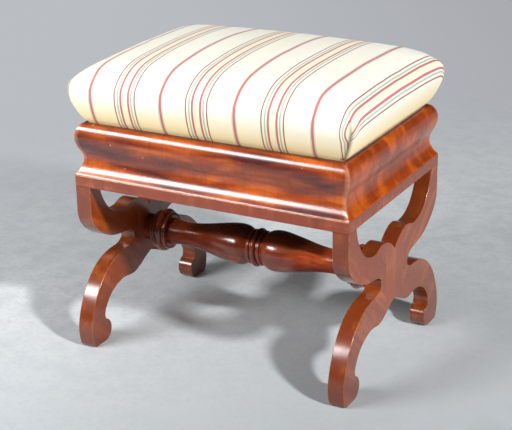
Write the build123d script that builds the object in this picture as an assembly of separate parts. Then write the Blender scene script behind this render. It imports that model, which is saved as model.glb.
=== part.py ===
from build123d import *
import os

# Footstool with an upholstered slip seat on a curule (X-shaped) base, in millimetres.
# +Z is up, +X is to the sitter's right along the stretcher, and the front faces -Y.
# The origin is on the floor, midway between the four feet.

# Overall frame
frame_length = 480.0
frame_depth = 347.0
leg_rise = 279.5
foot_reach = 188.5
board_thickness = 27.0
overrun = 5.0

# Fascia rails: the flat band under the moulding, flush with the faces of the end boards
fascia_height = 18.5
rail_thickness = 32.0

# Moulded rails: a large roll over a cove, on top of the fascia
moulding_height = 86.0
cove_depth = 11.2
roll_setback = 1.4
shoulder_setback = 13.8
rebate_depth = 22.0
rebate_lip = 3.2
cove_shares = ((0, 0), (0.13, 0.027), (0.37, 0.070), (0.61, 0.122), (0.81, 0.182), (0.95, 0.255), (1.0, 0.330),
               (0.90, 0.405), (0.66, 0.472))
roll_shares = ((0.12, 0.600), (0, 0.715), (0.10, 0.830), (0.42, 0.935), (0.72, 0.980), (1.0, 1.0))

# End boards: heights are shares of the leg's rise, reaches are shares of the half depth or the foot's reach
arm_width = 26.7
arm_straight = 42.0
hollow_shares = ((0.085, 0.742), (0.205, 0.776), (0.296, 0.780), (0.385, 0.763), (0.480, 0.760),
                 (0.580, 0.775), (0.675, 0.808), (0.752, 0.862), (0.812, 0.930))
hollow_centre_share = 0.697
arm_shares = ((0.962, 0.768), (0.850, 0.696), (0.722, 0.649), (0.580, 0.622), (0.435, 0.609), (0.345, 0.594))
notch_top_shares = (0.298, 0.572)
notch_foot_shares = (0.272, 0.531)
leg_shares = ((0.318, 0.511), (0.425, 0.501), (0.545, 0.491), (0.668, 0.461), (0.785, 0.405),
              (0.882, 0.330), (0.954, 0.238), (0.992, 0.160), (1.0, 0.098), (0.985, 0.040))
heel_shares = (0.968, 0.0115)
sole_outer_share = 0.942
sole_inner_share = 0.800
curl_top_shares = (0.770, 0.138)
calf_shares = ((0.782, 0.168), (0.755, 0.215), (0.685, 0.268), (0.575, 0.308), (0.430, 0.323),
               (0.300, 0.314), (0.205, 0.332), (0.115, 0.361))
arch_centre_share = 0.392

# Centre block between the front and rear boards of an end
block_width = 68.0
block_dowel_diameter = 10.0
block_dowel_length = 40.0
block_dowel_low_share = 0.425
block_dowel_high_share = 0.680

# Turned stretcher, from the face of the end board to the middle ring
stretcher_height = 152.5
tenon_diameter = 24.0
tenon_length = 20.0
collar_radius = 23.2
collar_length = 12.5
bead_radius = 25.4
bead_length = 4.2
drum_radius = 36.4
drum_length = 22.5
disc_radius = 31.5
disc_length = 6.5
neck_radius = 20.6
belly_radius = 32.6
waist_radius = 27.2
ring_radius = 29.4
ring_length = 7.0
middle_ring_radius = 32.4
middle_ring_length = 8.6
quirk_radius = 26.8
quirk_length = 1.8
neck_flare = 1.8
bead_swell = 1.8
crest_share = 0.72
crest_drop_share = 0.72
neck_place_share = 0.120
belly_place_share = 0.740
glue_gap = 0.1

# Dowels from the arms into the end fascia
arm_dowel_diameter = 8.0
arm_dowel_length = 38.0
arm_dowel_spacing = 12.0
arm_dowel_top_gap = 2.5

# Corner blocks glued and screwed inside the frame
corner_block_side = 38.0
corner_block_drop = 3.0
block_screw_low_share = 0.34
block_screw_high_share = 0.68

# Wood screws
screw_diameter = 4.2
screw_length = 42.0
screw_head_diameter = 8.4
screw_head_height = 2.6
slot_width = 1.0
slot_depth = 1.1
rail_screw_length = 45.0
rail_screws_per_long_rail = 3
rail_screws_per_end_rail = 2

# Slip seat frame
seat_clearance = 0.8
seat_rest_gap = 0.3
cover_thickness = 1.2
seat_rail_width = 48.0
seat_rail_thickness = 20.0
lap_dowel_diameter = 6.0
lap_dowel_inset = 15.0

# Webbing, hessian and tacks
web_width = 50.0
web_thickness = 1.2
web_overlap = 30.0
long_web_count = 3
cross_web_count = 4
web_ramp_gap = 1.5
web_ramp_length = 2.5
hessian_thickness = 0.8
hessian_inset = 8.0
tack_head_diameter = 8.0
tack_head_height = 1.2
tack_head_bevel = 0.72
tack_shank_diameter = 1.8
tack_shank_length = 9.0
tack_spacing = 40.0
cover_turn_under = 26.0
cover_tack_inset = 21.0
web_tack_inset = 12.0

# Cushion: its offset from the frame's outer face, its height above the moulding and its corner radius
cushion_rise = 110.0
cushion_bulge = 9.0
cushion_corner = 24.0
cushion_bow = 3.0
stuffing_gap = 0.3
cushion_rise_shares = (0, 0.03, 0.10, 0.18, 0.27, 0.37, 0.48, 0.555, 0.62, 0.68, 0.724, 0.775, 0.823, 0.865, 0.904,
                       0.935, 0.965, 0.987, 1)
cushion_side_shares = (-1.98, -1.51, -0.91, -0.40, 0.07, 0.51, 0.88, 0.98, 0.98, 0.72, 0.72, 0.72, 0.72, 0.72, 0.72,
                       0.72, 0.72, 0.72, 0.72)
cushion_crown_shares = (0, 0, 0, 0, 0, 0, 0, 0, 0, 0, 0.023, 0.058, 0.101, 0.159, 0.245, 0.360, 0.527, 0.726, 0.865)
cushion_corner_shares = (0.08, 0.17, 0.25, 0.33, 0.42, 0.5, 0.67, 0.92, 1.33, 1.8, 2.1, 2.5, 3.2, 4.0, 4.8, 5.0, 5.0,
                         5.0, 5.0)
cushion_round_share = 0.9

# Levels and planes worked out from the sizes above
half_length = frame_length / 2
half_depth = frame_depth / 2
fascia_top = leg_rise + fascia_height
moulding_top = fascia_top + moulding_height
ledge_level = moulding_top - rebate_depth
lip_inset = shoulder_setback + rebate_lip
block_half = block_width / 2
board_inner = half_length - board_thickness
stretcher_half = board_inner
well_length = frame_length - 2 * lip_inset
well_depth = frame_depth - 2 * lip_inset
seat_bottom = ledge_level + seat_rest_gap + cover_thickness
seat_top = seat_bottom + seat_rail_thickness
seat_length = well_length - 2 * (seat_clearance + cover_thickness)
seat_depth = well_depth - 2 * (seat_clearance + cover_thickness)
web_top = seat_top + 2 * web_thickness
hessian_top = web_top + hessian_thickness
front, rear = -1, 1
left, right = -1, 1
quarter_turn = 90


def box_between(low, high):
    """A box from its lowest to its highest corner."""
    size = [b - a for a, b in zip(low, high)]
    return Location(low) * Box(*size, align=(Align.MIN, Align.MIN, Align.MIN))


def rod(start, end, radius):
    """A round rod from one point to another."""
    run = Vector(*end) - Vector(*start)
    place = Plane(origin=start, z_dir=run)
    return place * Cylinder(radius, run.length, align=(Align.CENTER, Align.CENTER, Align.MIN))


def save(name, *solids):
    """Write one node's solids to its STEP file."""
    shapes = [piece for solid in solids for piece in solid.solids()]
    body = shapes[0] if len(shapes) == 1 else Compound(shapes)
    body.label = name
    export_step(body, f"parts/{name}.step")


# End boards

def scaled(shares, reach):
    """Turn one pair of shares into a point: across from the middle, and up."""
    return (shares[0] * reach, shares[1] * leg_rise)


def half_outline():
    """The outline of one half of an end, from the middle outwards, as a closed face in the YZ plane."""
    crotch = (0, hollow_centre_share * leg_rise)
    arm_inner = (half_depth - arm_width, leg_rise)
    arm_outer = (half_depth, leg_rise)
    arm_turn = (half_depth, leg_rise - arm_straight)
    notch_top = scaled(notch_top_shares, half_depth)
    notch_foot = scaled(notch_foot_shares, foot_reach)
    sole_outer = (sole_outer_share * foot_reach, 0)
    sole_inner = (sole_inner_share * foot_reach, 0)
    curl_top = scaled(curl_top_shares, foot_reach)
    arch = (0, arch_centre_share * leg_rise)
    hollow = [scaled(pair, half_depth) for pair in hollow_shares]
    arm = [scaled(pair, half_depth) for pair in arm_shares]
    leg = [scaled(pair, foot_reach) for pair in leg_shares]
    calf = [scaled(pair, foot_reach) for pair in calf_shares]
    edges = [
        Spline(crotch, *hollow, arm_inner),
        Line(arm_inner, arm_outer),
        Line(arm_outer, arm_turn),
        Spline(arm_turn, *arm, notch_top, tangents=[(0, -1), (-1, -1)]),
        Line(notch_top, notch_foot),
        Spline(notch_foot, *leg),
        ThreePointArc(leg[-1], scaled(heel_shares, foot_reach), sole_outer),
        Line(sole_outer, sole_inner),
        TangentArc(sole_inner, curl_top, tangent=(-1, 0)),
        Spline(curl_top, *calf, arch),
        Line(arch, crotch),
    ]
    return Plane.YZ * make_face(Curve() + edges)


def end_half():
    """One half of the right-hand end, front to back mirrored later, with the block's share still in it."""
    face = Location((board_inner, 0, 0)) * half_outline()
    return extrude(face, board_thickness, dir=(1, 0, 0))


def block_space():
    """The space of the right-hand centre block."""
    low = (board_inner - overrun, -block_half, -overrun)
    high = (half_length + overrun, block_half, leg_rise + overrun)
    return box_between(low, high)


def arm_dowel_places():
    """The centres of the two dowels in the top of the right rear arm."""
    middle = half_depth - arm_width / 2
    offset = arm_dowel_spacing / 2
    return [(half_length - board_thickness / 2, middle + side * offset) for side in (-1, 1)]


def arm_dowels(gap=0.0):
    """The dowels of the right rear arm; a gap makes their holes."""
    top = fascia_top - arm_dowel_top_gap
    bottom = top - arm_dowel_length
    return [rod((x, y, bottom), (x, y, top), arm_dowel_diameter / 2 + gap) for x, y in arm_dowel_places()]


def block_dowels(gap=0.0):
    """The dowels between the right centre block and the rear board; a gap makes their holes."""
    x = half_length - board_thickness / 2
    start = block_half - block_dowel_length / 2
    levels = [share * leg_rise for share in (block_dowel_low_share, block_dowel_high_share)]
    radius = block_dowel_diameter / 2 + gap
    return [rod((x, start, z), (x, start + block_dowel_length, z), radius) for z in levels]


def tenon_hole():
    """The stretcher's mortise in the right centre block."""
    start = (board_inner - overrun, 0, stretcher_height)
    end = (board_inner + tenon_length + glue_gap, 0, stretcher_height)
    return rod(start, end, tenon_diameter / 2 + glue_gap)


def rear_board():
    """The right rear board: one arm and one leg, bored for its dowels."""
    board = end_half() - block_space()
    return board - (arm_dowels(glue_gap) + block_dowels(glue_gap))


def centre_block():
    """The right centre block, bored for the dowels and the stretcher."""
    half = end_half()
    block = (half + half.mirror(Plane.XZ)) & block_space()
    holes = block_dowels(glue_gap)
    holes += [hole.mirror(Plane.XZ) for hole in holes]
    return block - (holes + [tenon_hole()])


# Stretcher

def stretcher():
    """The turned stretcher: half a profile from the middle ring to the tenon, mirrored and revolved."""
    ring_start = middle_ring_length / 2 + quirk_length
    belly_start = ring_start + ring_length + quirk_length
    disc_end = stretcher_half - collar_length - bead_length - drum_length
    disc_start = disc_end - disc_length
    run = disc_start - belly_start
    belly = disc_start - belly_place_share * run
    neck = disc_start - neck_place_share * run
    tip = stretcher_half + tenon_length
    collar_start = stretcher_half - collar_length
    bead_start = collar_start - bead_length
    edges = [
        round_step(0, middle_ring_length / 2, middle_ring_radius, middle_ring_radius, quirk_radius),
        Line((middle_ring_length / 2, quirk_radius), (ring_start, quirk_radius)),
        round_step(ring_start, ring_start + ring_length, quirk_radius, ring_radius, quirk_radius),
        Line((ring_start + ring_length, quirk_radius), (belly_start, waist_radius)),
        Spline((belly_start, waist_radius), (belly, belly_radius), (neck, neck_radius),
               (disc_start, neck_radius + neck_flare), tangents=[(1, 1), (1, 0)]),
        Line((disc_start, neck_radius + neck_flare), (disc_start, quirk_radius)),
        round_step(disc_start, disc_end, quirk_radius, disc_radius, quirk_radius),
        round_step(disc_end, bead_start, quirk_radius, drum_radius, bead_radius),
        round_step(bead_start, collar_start, bead_radius, bead_radius + bead_swell, collar_radius),
        Line((collar_start, collar_radius), (stretcher_half, collar_radius)),
        Line((stretcher_half, collar_radius), (stretcher_half, tenon_diameter / 2)),
        Line((stretcher_half, tenon_diameter / 2), (tip, tenon_diameter / 2)),
        Line((tip, tenon_diameter / 2), (tip, 0)),
        Line((tip, 0), (0, 0)),
        Line((0, 0), (0, middle_ring_radius)),
    ]
    half = revolve(Plane.XZ * make_face(Curve() + edges), Axis.X)
    whole = half + half.mirror(Plane.YZ)
    return Location((0, 0, stretcher_height)) * whole


def round_step(start, end, radius_start, radius_top, radius_end):
    """A swelling between two places on the profile, as one arc through its crest."""
    if radius_start == radius_top:
        crest = (start + (end - start) * crest_share, radius_end + (radius_top - radius_end) * crest_drop_share)
    else:
        crest = ((start + end) / 2, radius_top)
    return ThreePointArc((start, radius_start), crest, (end, radius_end))


# Frame rails

def mitre_space(length, depth, low, high):
    """The space of the front rail between two 45 degree mitres, on a frame of the given size."""
    reach = rail_thickness + overrun
    outer = -depth / 2 - overrun
    inner = -depth / 2 + reach
    wide = length / 2 + overrun
    narrow = length / 2 - reach
    corners = [(-wide, outer), (wide, outer), (narrow, inner), (-narrow, inner)]
    outline = Polyline(*corners, close=True)
    return extrude(Location((0, 0, low)) * make_face(outline), high - low)


def fascia(length, depth):
    """A front fascia rail, mitred at both ends."""
    low = (-length / 2, -depth / 2, leg_rise)
    high = (length / 2, -depth / 2 + rail_thickness, fascia_top)
    return box_between(low, high) & mitre_space(length, depth, leg_rise - overrun, fascia_top + overrun)


def moulding_section(depth):
    """The moulded rail's section in the YZ plane: arris, flare, cove, roll, lip and rebate."""
    face = -depth / 2
    rise = moulding_height
    profile = [(face + inset_share * cove_depth, fascia_top + rise_share * rise)
               for inset_share, rise_share in cove_shares]
    roll = [(face + roll_setback + inset_share * (shoulder_setback - roll_setback),
             fascia_top + rise_share * rise) for inset_share, rise_share in roll_shares]
    lip = (face + lip_inset, moulding_top)
    edges = [
        Spline(*profile, *roll),
        Line(roll[-1], lip),
        Line(lip, (face + lip_inset, ledge_level)),
        Line((face + lip_inset, ledge_level), (face + rail_thickness, ledge_level)),
        Line((face + rail_thickness, ledge_level), (face + rail_thickness, fascia_top)),
        Line((face + rail_thickness, fascia_top), profile[0]),
    ]
    return Plane.YZ * make_face(Curve() + edges)


def moulding(length, depth):
    """A front moulded rail, mitred at both ends."""
    section = Location((-length / 2, 0, 0)) * moulding_section(depth)
    rail = extrude(section, length, dir=(1, 0, 0))
    return rail & mitre_space(length, depth, fascia_top - overrun, moulding_top + overrun)


def turned(piece, quarter_turns):
    """A piece turned about the vertical axis by a number of quarter turns."""
    return Rotation(0, 0, quarter_turn * quarter_turns) * piece


# Screws

def screw(head, tip, gap=0.0):
    """A slotted wood screw from its head to its tip; a gap makes its hole."""
    place = Plane(origin=head, z_dir=Vector(*tip) - Vector(*head))
    length = (Vector(*tip) - Vector(*head)).length
    shank = Cylinder(screw_diameter / 2 + gap, length, align=(Align.CENTER, Align.CENTER, Align.MIN))
    cone = Cone(screw_head_diameter / 2 + gap, screw_diameter / 2 + gap, screw_head_height,
                align=(Align.CENTER, Align.CENTER, Align.MIN))
    body = shank + cone
    if gap == 0:
        body -= Box(screw_head_diameter + overrun, slot_width, 2 * slot_depth)
    return place * body


def spread(count, length):
    """Evenly spaced places along a length centred on zero."""
    step = length / count
    return [step * (index - (count - 1) / 2) for index in range(count)]


def rail_screws(gap=0.0):
    """The screws from below through the fascia rails into the moulded rails."""
    inset = rail_thickness / 2
    inner_length = frame_length - 2 * (rail_thickness + corner_block_side)
    inner_depth = frame_depth - 2 * (rail_thickness + corner_block_side)
    places = [(x, side * (half_depth - inset)) for side in (front, rear)
              for x in spread(rail_screws_per_long_rail, inner_length)]
    places += [(side * (half_length - inset), y) for side in (left, right)
               for y in spread(rail_screws_per_end_rail, inner_depth)]
    return [screw((x, y, leg_rise), (x, y, leg_rise + rail_screw_length), gap) for x, y in places]


def block_screws(gap=0.0):
    """The screws through each corner block, one into the long rail and one into the end rail."""
    rise = ledge_level - leg_rise
    inner_x = half_length - rail_thickness - corner_block_side
    inner_y = half_depth - rail_thickness - corner_block_side
    middle_x = inner_x + corner_block_side / 2
    middle_y = inner_y + corner_block_side / 2
    low = leg_rise + block_screw_low_share * rise
    high = leg_rise + block_screw_high_share * rise
    screws = []
    for side in (left, right):
        for face in (front, rear):
            head = (side * middle_x, face * inner_y, high)
            tip = (side * middle_x, face * (inner_y + screw_length), high)
            screws.append(screw(head, tip, gap))
            head = (side * inner_x, face * middle_y, low)
            tip = (side * (inner_x + screw_length), face * middle_y, low)
            screws.append(screw(head, tip, gap))
    return screws


def corner_block(side, face):
    """A square block inside one corner of the frame."""
    outer_x = half_length - rail_thickness
    outer_y = half_depth - rail_thickness
    xs = sorted((side * outer_x, side * (outer_x - corner_block_side)))
    ys = sorted((face * outer_y, face * (outer_y - corner_block_side)))
    low = (xs[0], ys[0], leg_rise)
    high = (xs[1], ys[1], ledge_level - corner_block_drop)
    return box_between(low, high)


# Slip seat

def lap_dowel_places():
    """The centres of the two dowels through each corner lap."""
    x = seat_length / 2 - seat_rail_width / 2
    y = seat_depth / 2 - seat_rail_width / 2
    offset = seat_rail_width / 2 - lap_dowel_inset
    return [(side * (x + shift * offset), face * (y + shift * offset))
            for side in (left, right) for face in (front, rear) for shift in (-1, 1)]


def lap_dowels(gap=0.0):
    """Short dowels through the corner laps; a gap makes their holes."""
    radius = lap_dowel_diameter / 2 + gap
    return [rod((x, y, seat_bottom), (x, y, seat_top), radius) for x, y in lap_dowel_places()]


def seat_rail(face):
    """A front or rear rail of the slip seat, with the lower half of each corner lap."""
    ys = sorted((face * seat_depth / 2, face * (seat_depth / 2 - seat_rail_width)))
    rail = box_between((-seat_length / 2, ys[0], seat_bottom), (seat_length / 2, ys[1], seat_top))
    middle = (seat_bottom + seat_top) / 2
    for side in (left, right):
        xs = sorted((side * (seat_length / 2 - seat_rail_width), side * (seat_length / 2 + overrun)))
        rail -= box_between((xs[0], ys[0] - overrun, middle), (xs[1], ys[1] + overrun, seat_top + overrun))
    return rail


def seat_side(side):
    """A left or right rail of the slip seat, with the upper half of each corner lap."""
    xs = sorted((side * seat_length / 2, side * (seat_length / 2 - seat_rail_width)))
    rail = box_between((xs[0], -seat_depth / 2, seat_bottom), (xs[1], seat_depth / 2, seat_top))
    middle = (seat_bottom + seat_top) / 2
    for face in (front, rear):
        ys = sorted((face * (seat_depth / 2 - seat_rail_width), face * (seat_depth / 2 + overrun)))
        rail -= box_between((xs[0] - overrun, ys[0], seat_bottom - overrun), (xs[1] + overrun, ys[1], middle))
    return rail


def web_places():
    """The middles of the lengthwise straps in Y and of the crosswise straps in X."""
    inner_length = seat_length - 2 * seat_rail_width
    inner_depth = seat_depth - 2 * seat_rail_width
    return spread(long_web_count, inner_depth), spread(cross_web_count, inner_length)


def long_web(y):
    """A lengthwise strap, flat on the seat rails."""
    reach = seat_length / 2 - seat_rail_width + web_overlap
    low = (-reach, y - web_width / 2, seat_top)
    return box_between(low, (reach, y + web_width / 2, seat_top + web_thickness))


def cross_web(x, index):
    """A crosswise strap, woven over and under the lengthwise straps in turn."""
    reach = seat_depth / 2 - seat_rail_width + web_overlap
    half = web_width / 2
    lower = [(-reach, 0)]
    for number, y in enumerate(web_places()[0]):
        level = web_thickness if (number + index) % 2 == 0 else -web_thickness
        near = y - half - web_ramp_gap
        far = y + half + web_ramp_gap
        if number == 0:
            lower.append((min(near, 0) - web_ramp_length, 0))
        lower += [(near, level), (far, level)]
    lower.append((far + web_ramp_length, 0))
    lower.append((reach, 0))
    lower = [(y, seat_top + rise) for y, rise in lower]
    upper = [(y, z + web_thickness) for y, z in reversed(lower)]
    section = Plane.YZ * make_face(Polyline(*lower, *upper, close=True))
    return extrude(Location((x - half, 0, 0)) * section, web_width, dir=(1, 0, 0))


def tack(x, y, level, down, gap=0.0):
    """A domed tack driven up from below or down from above; a gap makes its hole."""
    place = Plane(origin=(x, y, level), z_dir=(0, 0, -1 if down else 1))
    head = Cylinder(tack_head_diameter / 2, tack_head_height, align=(Align.CENTER, Align.CENTER, Align.MAX))
    head = chamfer(head.edges().sort_by(Axis.Z)[0], tack_head_bevel)
    shank = Cylinder(tack_shank_diameter / 2 + gap, tack_shank_length,
                     align=(Align.CENTER, Align.CENTER, Align.MIN))
    return place * (shank if gap else head + shank)


def cover_tack_places():
    """The tacks under the seat frame, round the cover's turned edge."""
    x = seat_length / 2 - cover_tack_inset
    y = seat_depth / 2 - cover_tack_inset
    long_count = round(2 * x / tack_spacing)
    short_count = round(2 * y / tack_spacing)
    places = [(place, face * y) for face in (front, rear) for place in spread(long_count, 2 * x)]
    places += [(side * x, place) for side in (left, right) for place in spread(short_count, 2 * y)]
    return places


def cover_tacks(gap=0.0):
    """The cover's tacks, with their heads against its turned edge."""
    level = seat_bottom - cover_thickness
    return [tack(x, y, level, False, gap) for x, y in cover_tack_places()]


def web_tack_places():
    """Two tacks at each end of every strap."""
    long_places, cross_places = web_places()
    end_x = seat_length / 2 - seat_rail_width + web_overlap - web_tack_inset
    end_y = seat_depth / 2 - seat_rail_width + web_overlap - web_tack_inset
    offset = web_width / 4
    places = [(side * end_x, y + shift * offset) for y in long_places
              for side in (left, right) for shift in (-1, 1)]
    places += [(x + shift * offset, face * end_y) for x in cross_places
               for face in (front, rear) for shift in (-1, 1)]
    return places


def web_tacks(gap=0.0):
    """The webbing's tacks, driven down into the seat frame."""
    level = seat_top + web_thickness
    return [tack(x, y, level, True, gap) for x, y in web_tack_places()]


# Cushion

def bowed_rectangle(length, depth, corner, bow, level):
    """A closed outline with round corners and sides that may bow outwards a little."""
    x = length / 2
    y = depth / 2
    diagonal = corner * (1 - 2 ** -0.5)

    def side(start, crest, end):
        return ThreePointArc(start, crest, end) if bow else Line(start, end)

    edges = [
        side((-x + corner, -y), (0, -y - bow), (x - corner, -y)),
        ThreePointArc((x - corner, -y), (x - diagonal, -y + diagonal), (x, -y + corner)),
        side((x, -y + corner), (x + bow, 0), (x, y - corner)),
        ThreePointArc((x, y - corner), (x - diagonal, y - diagonal), (x - corner, y)),
        side((x - corner, y), (0, y + bow), (-x + corner, y)),
        ThreePointArc((-x + corner, y), (-x + diagonal, y - diagonal), (-x, y - corner)),
        side((-x, y - corner), (-x - bow, 0), (-x, -y + corner)),
        ThreePointArc((-x, -y + corner), (-x + diagonal, -y + diagonal), (-x + corner, -y)),
    ]
    return Location((0, 0, level)) * make_face(Curve() + edges)


def cushion_form(inset):
    """The crowned cushion above the moulding's top, drawn in by an inset all over."""
    sections = []
    table = zip(cushion_rise_shares, cushion_side_shares, cushion_crown_shares, cushion_corner_shares)
    for rise, side, crown, corner in table:
        offset = side * cushion_bulge - crown * half_depth - inset
        level = moulding_top + rise * (cushion_rise - inset)
        length = frame_length + 2 * offset
        depth = frame_depth + 2 * offset
        round_corner = min(corner * cushion_corner, cushion_round_share * depth / 2)
        sections.append(bowed_rectangle(length, depth, round_corner, cushion_bow * rise, level))
    return loft(sections, ruled=True)


def ring(length, depth, wall, low, high):
    """A rectangular ring of a given wall, between two levels."""
    outer = box_between((-length / 2, -depth / 2, low), (length / 2, depth / 2, high))
    x = length / 2 - wall
    y = depth / 2 - wall
    return outer - box_between((-x, -y, low - overrun), (x, y, high + overrun))


def cover():
    """The fitted cover: crowned top, sides down round the seat frame and an edge turned under it."""
    skin = cushion_form(0.0) - cushion_form(cover_thickness)
    length = well_length - 2 * seat_clearance
    depth = well_depth - 2 * seat_clearance
    bottom = seat_bottom - cover_thickness
    band = ring(length, depth, cover_thickness, bottom, moulding_top)
    edge = ring(length, depth, cover_thickness + cover_turn_under, bottom, seat_bottom)
    return (skin + band + edge) - cover_tacks(glue_gap)


def stuffing():
    """The stuffing between the hessian and the cover."""
    form = cushion_form(cover_thickness + stuffing_gap)
    reach = frame_length + cushion_rise
    low = (-reach, -reach, moulding_top - overrun)
    return form - box_between(low, (reach, reach, hessian_top))


def hessian():
    """The hessian sheet over the webbing."""
    x = seat_length / 2 - hessian_inset
    y = seat_depth / 2 - hessian_inset
    return box_between((-x, -y, web_top), (x, y, hessian_top))


os.makedirs("parts", exist_ok=True)

# Ends
board = rear_board()
for side_name, flip_x in (("left", True), ("right", False)):
    for face_name, flip_y in (("front", True), ("rear", False)):
        piece = board.mirror(Plane.XZ) if flip_y else board
        save(f"{side_name}_{face_name}_board", piece.mirror(Plane.YZ) if flip_x else piece)
block = centre_block()
save("right_centre_block", block)
save("left_centre_block", block.mirror(Plane.YZ))
save("stretcher", stretcher())


def all_quarters(solids):
    """A set of solids for the right rear quarter, repeated in all four quarters."""
    mirrored = solids + [solid.mirror(Plane.XZ) for solid in solids]
    return mirrored + [solid.mirror(Plane.YZ) for solid in mirrored]


save("arm_dowels", *all_quarters(arm_dowels()))
save("block_dowels", *all_quarters(block_dowels()))

# Frame
dowel_holes = all_quarters(arm_dowels(glue_gap))
rail_holes = rail_screws(glue_gap)
block_holes = block_screws(glue_gap)
rail_turns = {
    "front": (0, frame_length, frame_depth),
    "right": (1, frame_depth, frame_length),
    "rear": (2, frame_length, frame_depth),
    "left": (3, frame_depth, frame_length),
}
for name, (turns, length, depth) in rail_turns.items():
    band = turned(fascia(length, depth), turns)
    save(f"fascia_{name}", band - (dowel_holes + rail_holes + block_holes))
    rail = turned(moulding(length, depth), turns)
    save(f"moulding_{name}", rail - (rail_holes + block_holes))
for side_name, side in (("left", left), ("right", right)):
    for face_name, face in (("front", front), ("rear", rear)):
        save(f"corner_block_{face_name}_{side_name}", corner_block(side, face) - block_holes)
save("rail_screws", *rail_screws())
save("corner_block_screws", *block_screws())

# Slip seat
seat_holes = lap_dowels(glue_gap) + cover_tacks(glue_gap) + web_tacks(glue_gap)
seat_pieces = {
    "seat_rail_front": seat_rail(front),
    "seat_rail_rear": seat_rail(rear),
    "seat_rail_left": seat_side(left),
    "seat_rail_right": seat_side(right),
}
for name, piece in seat_pieces.items():
    save(name, piece - seat_holes)
save("lap_dowels", *lap_dowels())
web_holes = web_tacks(glue_gap)
long_places, cross_places = web_places()
for number, y in enumerate(long_places, 1):
    save(f"webbing_long_{number}", long_web(y) - web_holes)
for number, x in enumerate(cross_places, 1):
    save(f"webbing_cross_{number}", cross_web(x, number) - web_holes)
save("webbing_tacks", *web_tacks())
save("hessian", hessian())
save("stuffing", stuffing())
save("striped_cover", cover())
save("cover_tacks", *cover_tacks())
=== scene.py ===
import math

import bpy
import numpy as np
from mathutils import Matrix, Vector


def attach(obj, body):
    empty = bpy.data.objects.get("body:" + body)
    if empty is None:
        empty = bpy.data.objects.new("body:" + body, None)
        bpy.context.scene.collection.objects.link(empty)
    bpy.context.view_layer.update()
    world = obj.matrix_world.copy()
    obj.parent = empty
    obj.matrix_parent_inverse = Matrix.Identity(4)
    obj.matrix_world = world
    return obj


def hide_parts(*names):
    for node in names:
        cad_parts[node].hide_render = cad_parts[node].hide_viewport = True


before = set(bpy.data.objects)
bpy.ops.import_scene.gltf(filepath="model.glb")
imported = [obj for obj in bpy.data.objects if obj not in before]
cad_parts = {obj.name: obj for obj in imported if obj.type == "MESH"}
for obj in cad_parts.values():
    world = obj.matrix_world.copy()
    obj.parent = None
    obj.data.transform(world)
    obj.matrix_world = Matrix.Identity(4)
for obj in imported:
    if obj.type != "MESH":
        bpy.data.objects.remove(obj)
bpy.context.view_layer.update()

# Sizes of the frame in metres, as the model was made
MM = 0.001
HALF_LENGTH, HALF_DEPTH = 0.240, 0.1735
LEG_RISE, FOOT_REACH, BOARD = 0.2795, 0.1885, 0.027
FASCIA_TOP, RAIL = 0.298, 0.032
MOULDING_RISE = 0.086
MOULDING_TOP = FASCIA_TOP + MOULDING_RISE
LEDGE = MOULDING_TOP - 0.022
COVE, ROLL_SET, SHOULDER_SET, LIP = 0.0112, 0.0014, 0.0138, 0.0170
ARM_WIDTH, ARM_STRAIGHT, BLOCK_HALF = 0.0267, 0.042, 0.034
STRETCHER_RISE, STRETCHER_HALF = 0.1525, 0.213
SEAT_BOTTOM, SEAT_TOP = 0.3635, 0.3835
SEAT_X, SEAT_Y = 0.221, 0.1545


# Curves

# The cosine and the sine of 0, 90, 180 and 270 degrees
QUARTER_TURNS = ((1, 0), (0, 1), (-1, 0), (0, -1))
# The least cosine of half a corner's turn that an inset follows
SHARPEST_CORNER = 0.55


def smooth_line(points, count, start=None, end=None):
    """A cubic spline through the points, by chord length. Each span is the cubic Hermite blend of its end
    points and slopes, and the slopes solve the tridiagonal system that makes the curvature continuous.
    Ends are free unless a direction is given for them."""
    p = np.asarray(points, float)
    h = np.linalg.norm(np.diff(p, axis=0), axis=1)
    n = len(p)
    system, right = np.zeros((n, n)), np.zeros((n, p.shape[1]))
    for i in range(1, n - 1):
        system[i, i - 1:i + 2] = h[i], 2 * (h[i - 1] + h[i]), h[i - 1]
        right[i] = 3 * (h[i] / h[i - 1] * (p[i] - p[i - 1]) + h[i - 1] / h[i] * (p[i + 1] - p[i]))
    for row, beside, chord, way in ((0, 1, p[1] - p[0], start), (n - 1, n - 2, p[-1] - p[-2], end)):
        system[row, row] = 1.0
        if way is None:
            system[row, beside] = 0.5
            right[row] = 1.5 * chord / h[0 if row == 0 else -1]
        else:
            right[row] = np.asarray(way, float) / np.linalg.norm(way)
    slope = np.linalg.solve(system, right)
    knots = np.concatenate([[0], np.cumsum(h)])
    at = np.linspace(0, knots[-1], count)
    i = np.clip(np.searchsorted(knots, at, "right") - 1, 0, n - 2)
    t = ((at - knots[i]) / h[i])[:, None]
    step = h[i][:, None]
    return ((1 + 2 * t) * (1 - t) ** 2 * p[i] + t * (1 - t) ** 2 * step * slope[i]
            + t * t * (3 - 2 * t) * p[i + 1] - t * t * (1 - t) * step * slope[i + 1])


def arc(start, crest, end, count):
    """A circular arc from start through crest to end: the centre is where the chords' mid-lines cross."""
    a, b, c = (np.asarray(v, float) for v in (start, crest, end))
    rows = np.array([b - a, c - b]) * 2
    centre = np.linalg.solve(rows, [b @ b - a @ a, c @ c - b @ b])
    turn = [math.atan2(*(v - centre)[::-1]) for v in (a, b, c)]
    first = (turn[1] - turn[0] + math.pi) % (2 * math.pi) - math.pi
    last = (turn[2] - turn[1] + math.pi) % (2 * math.pi) - math.pi
    angle = turn[0] + np.linspace(0, first + last, count)
    radius = np.linalg.norm(a - centre)
    return centre + radius * np.column_stack([np.cos(angle), np.sin(angle)])


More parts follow.
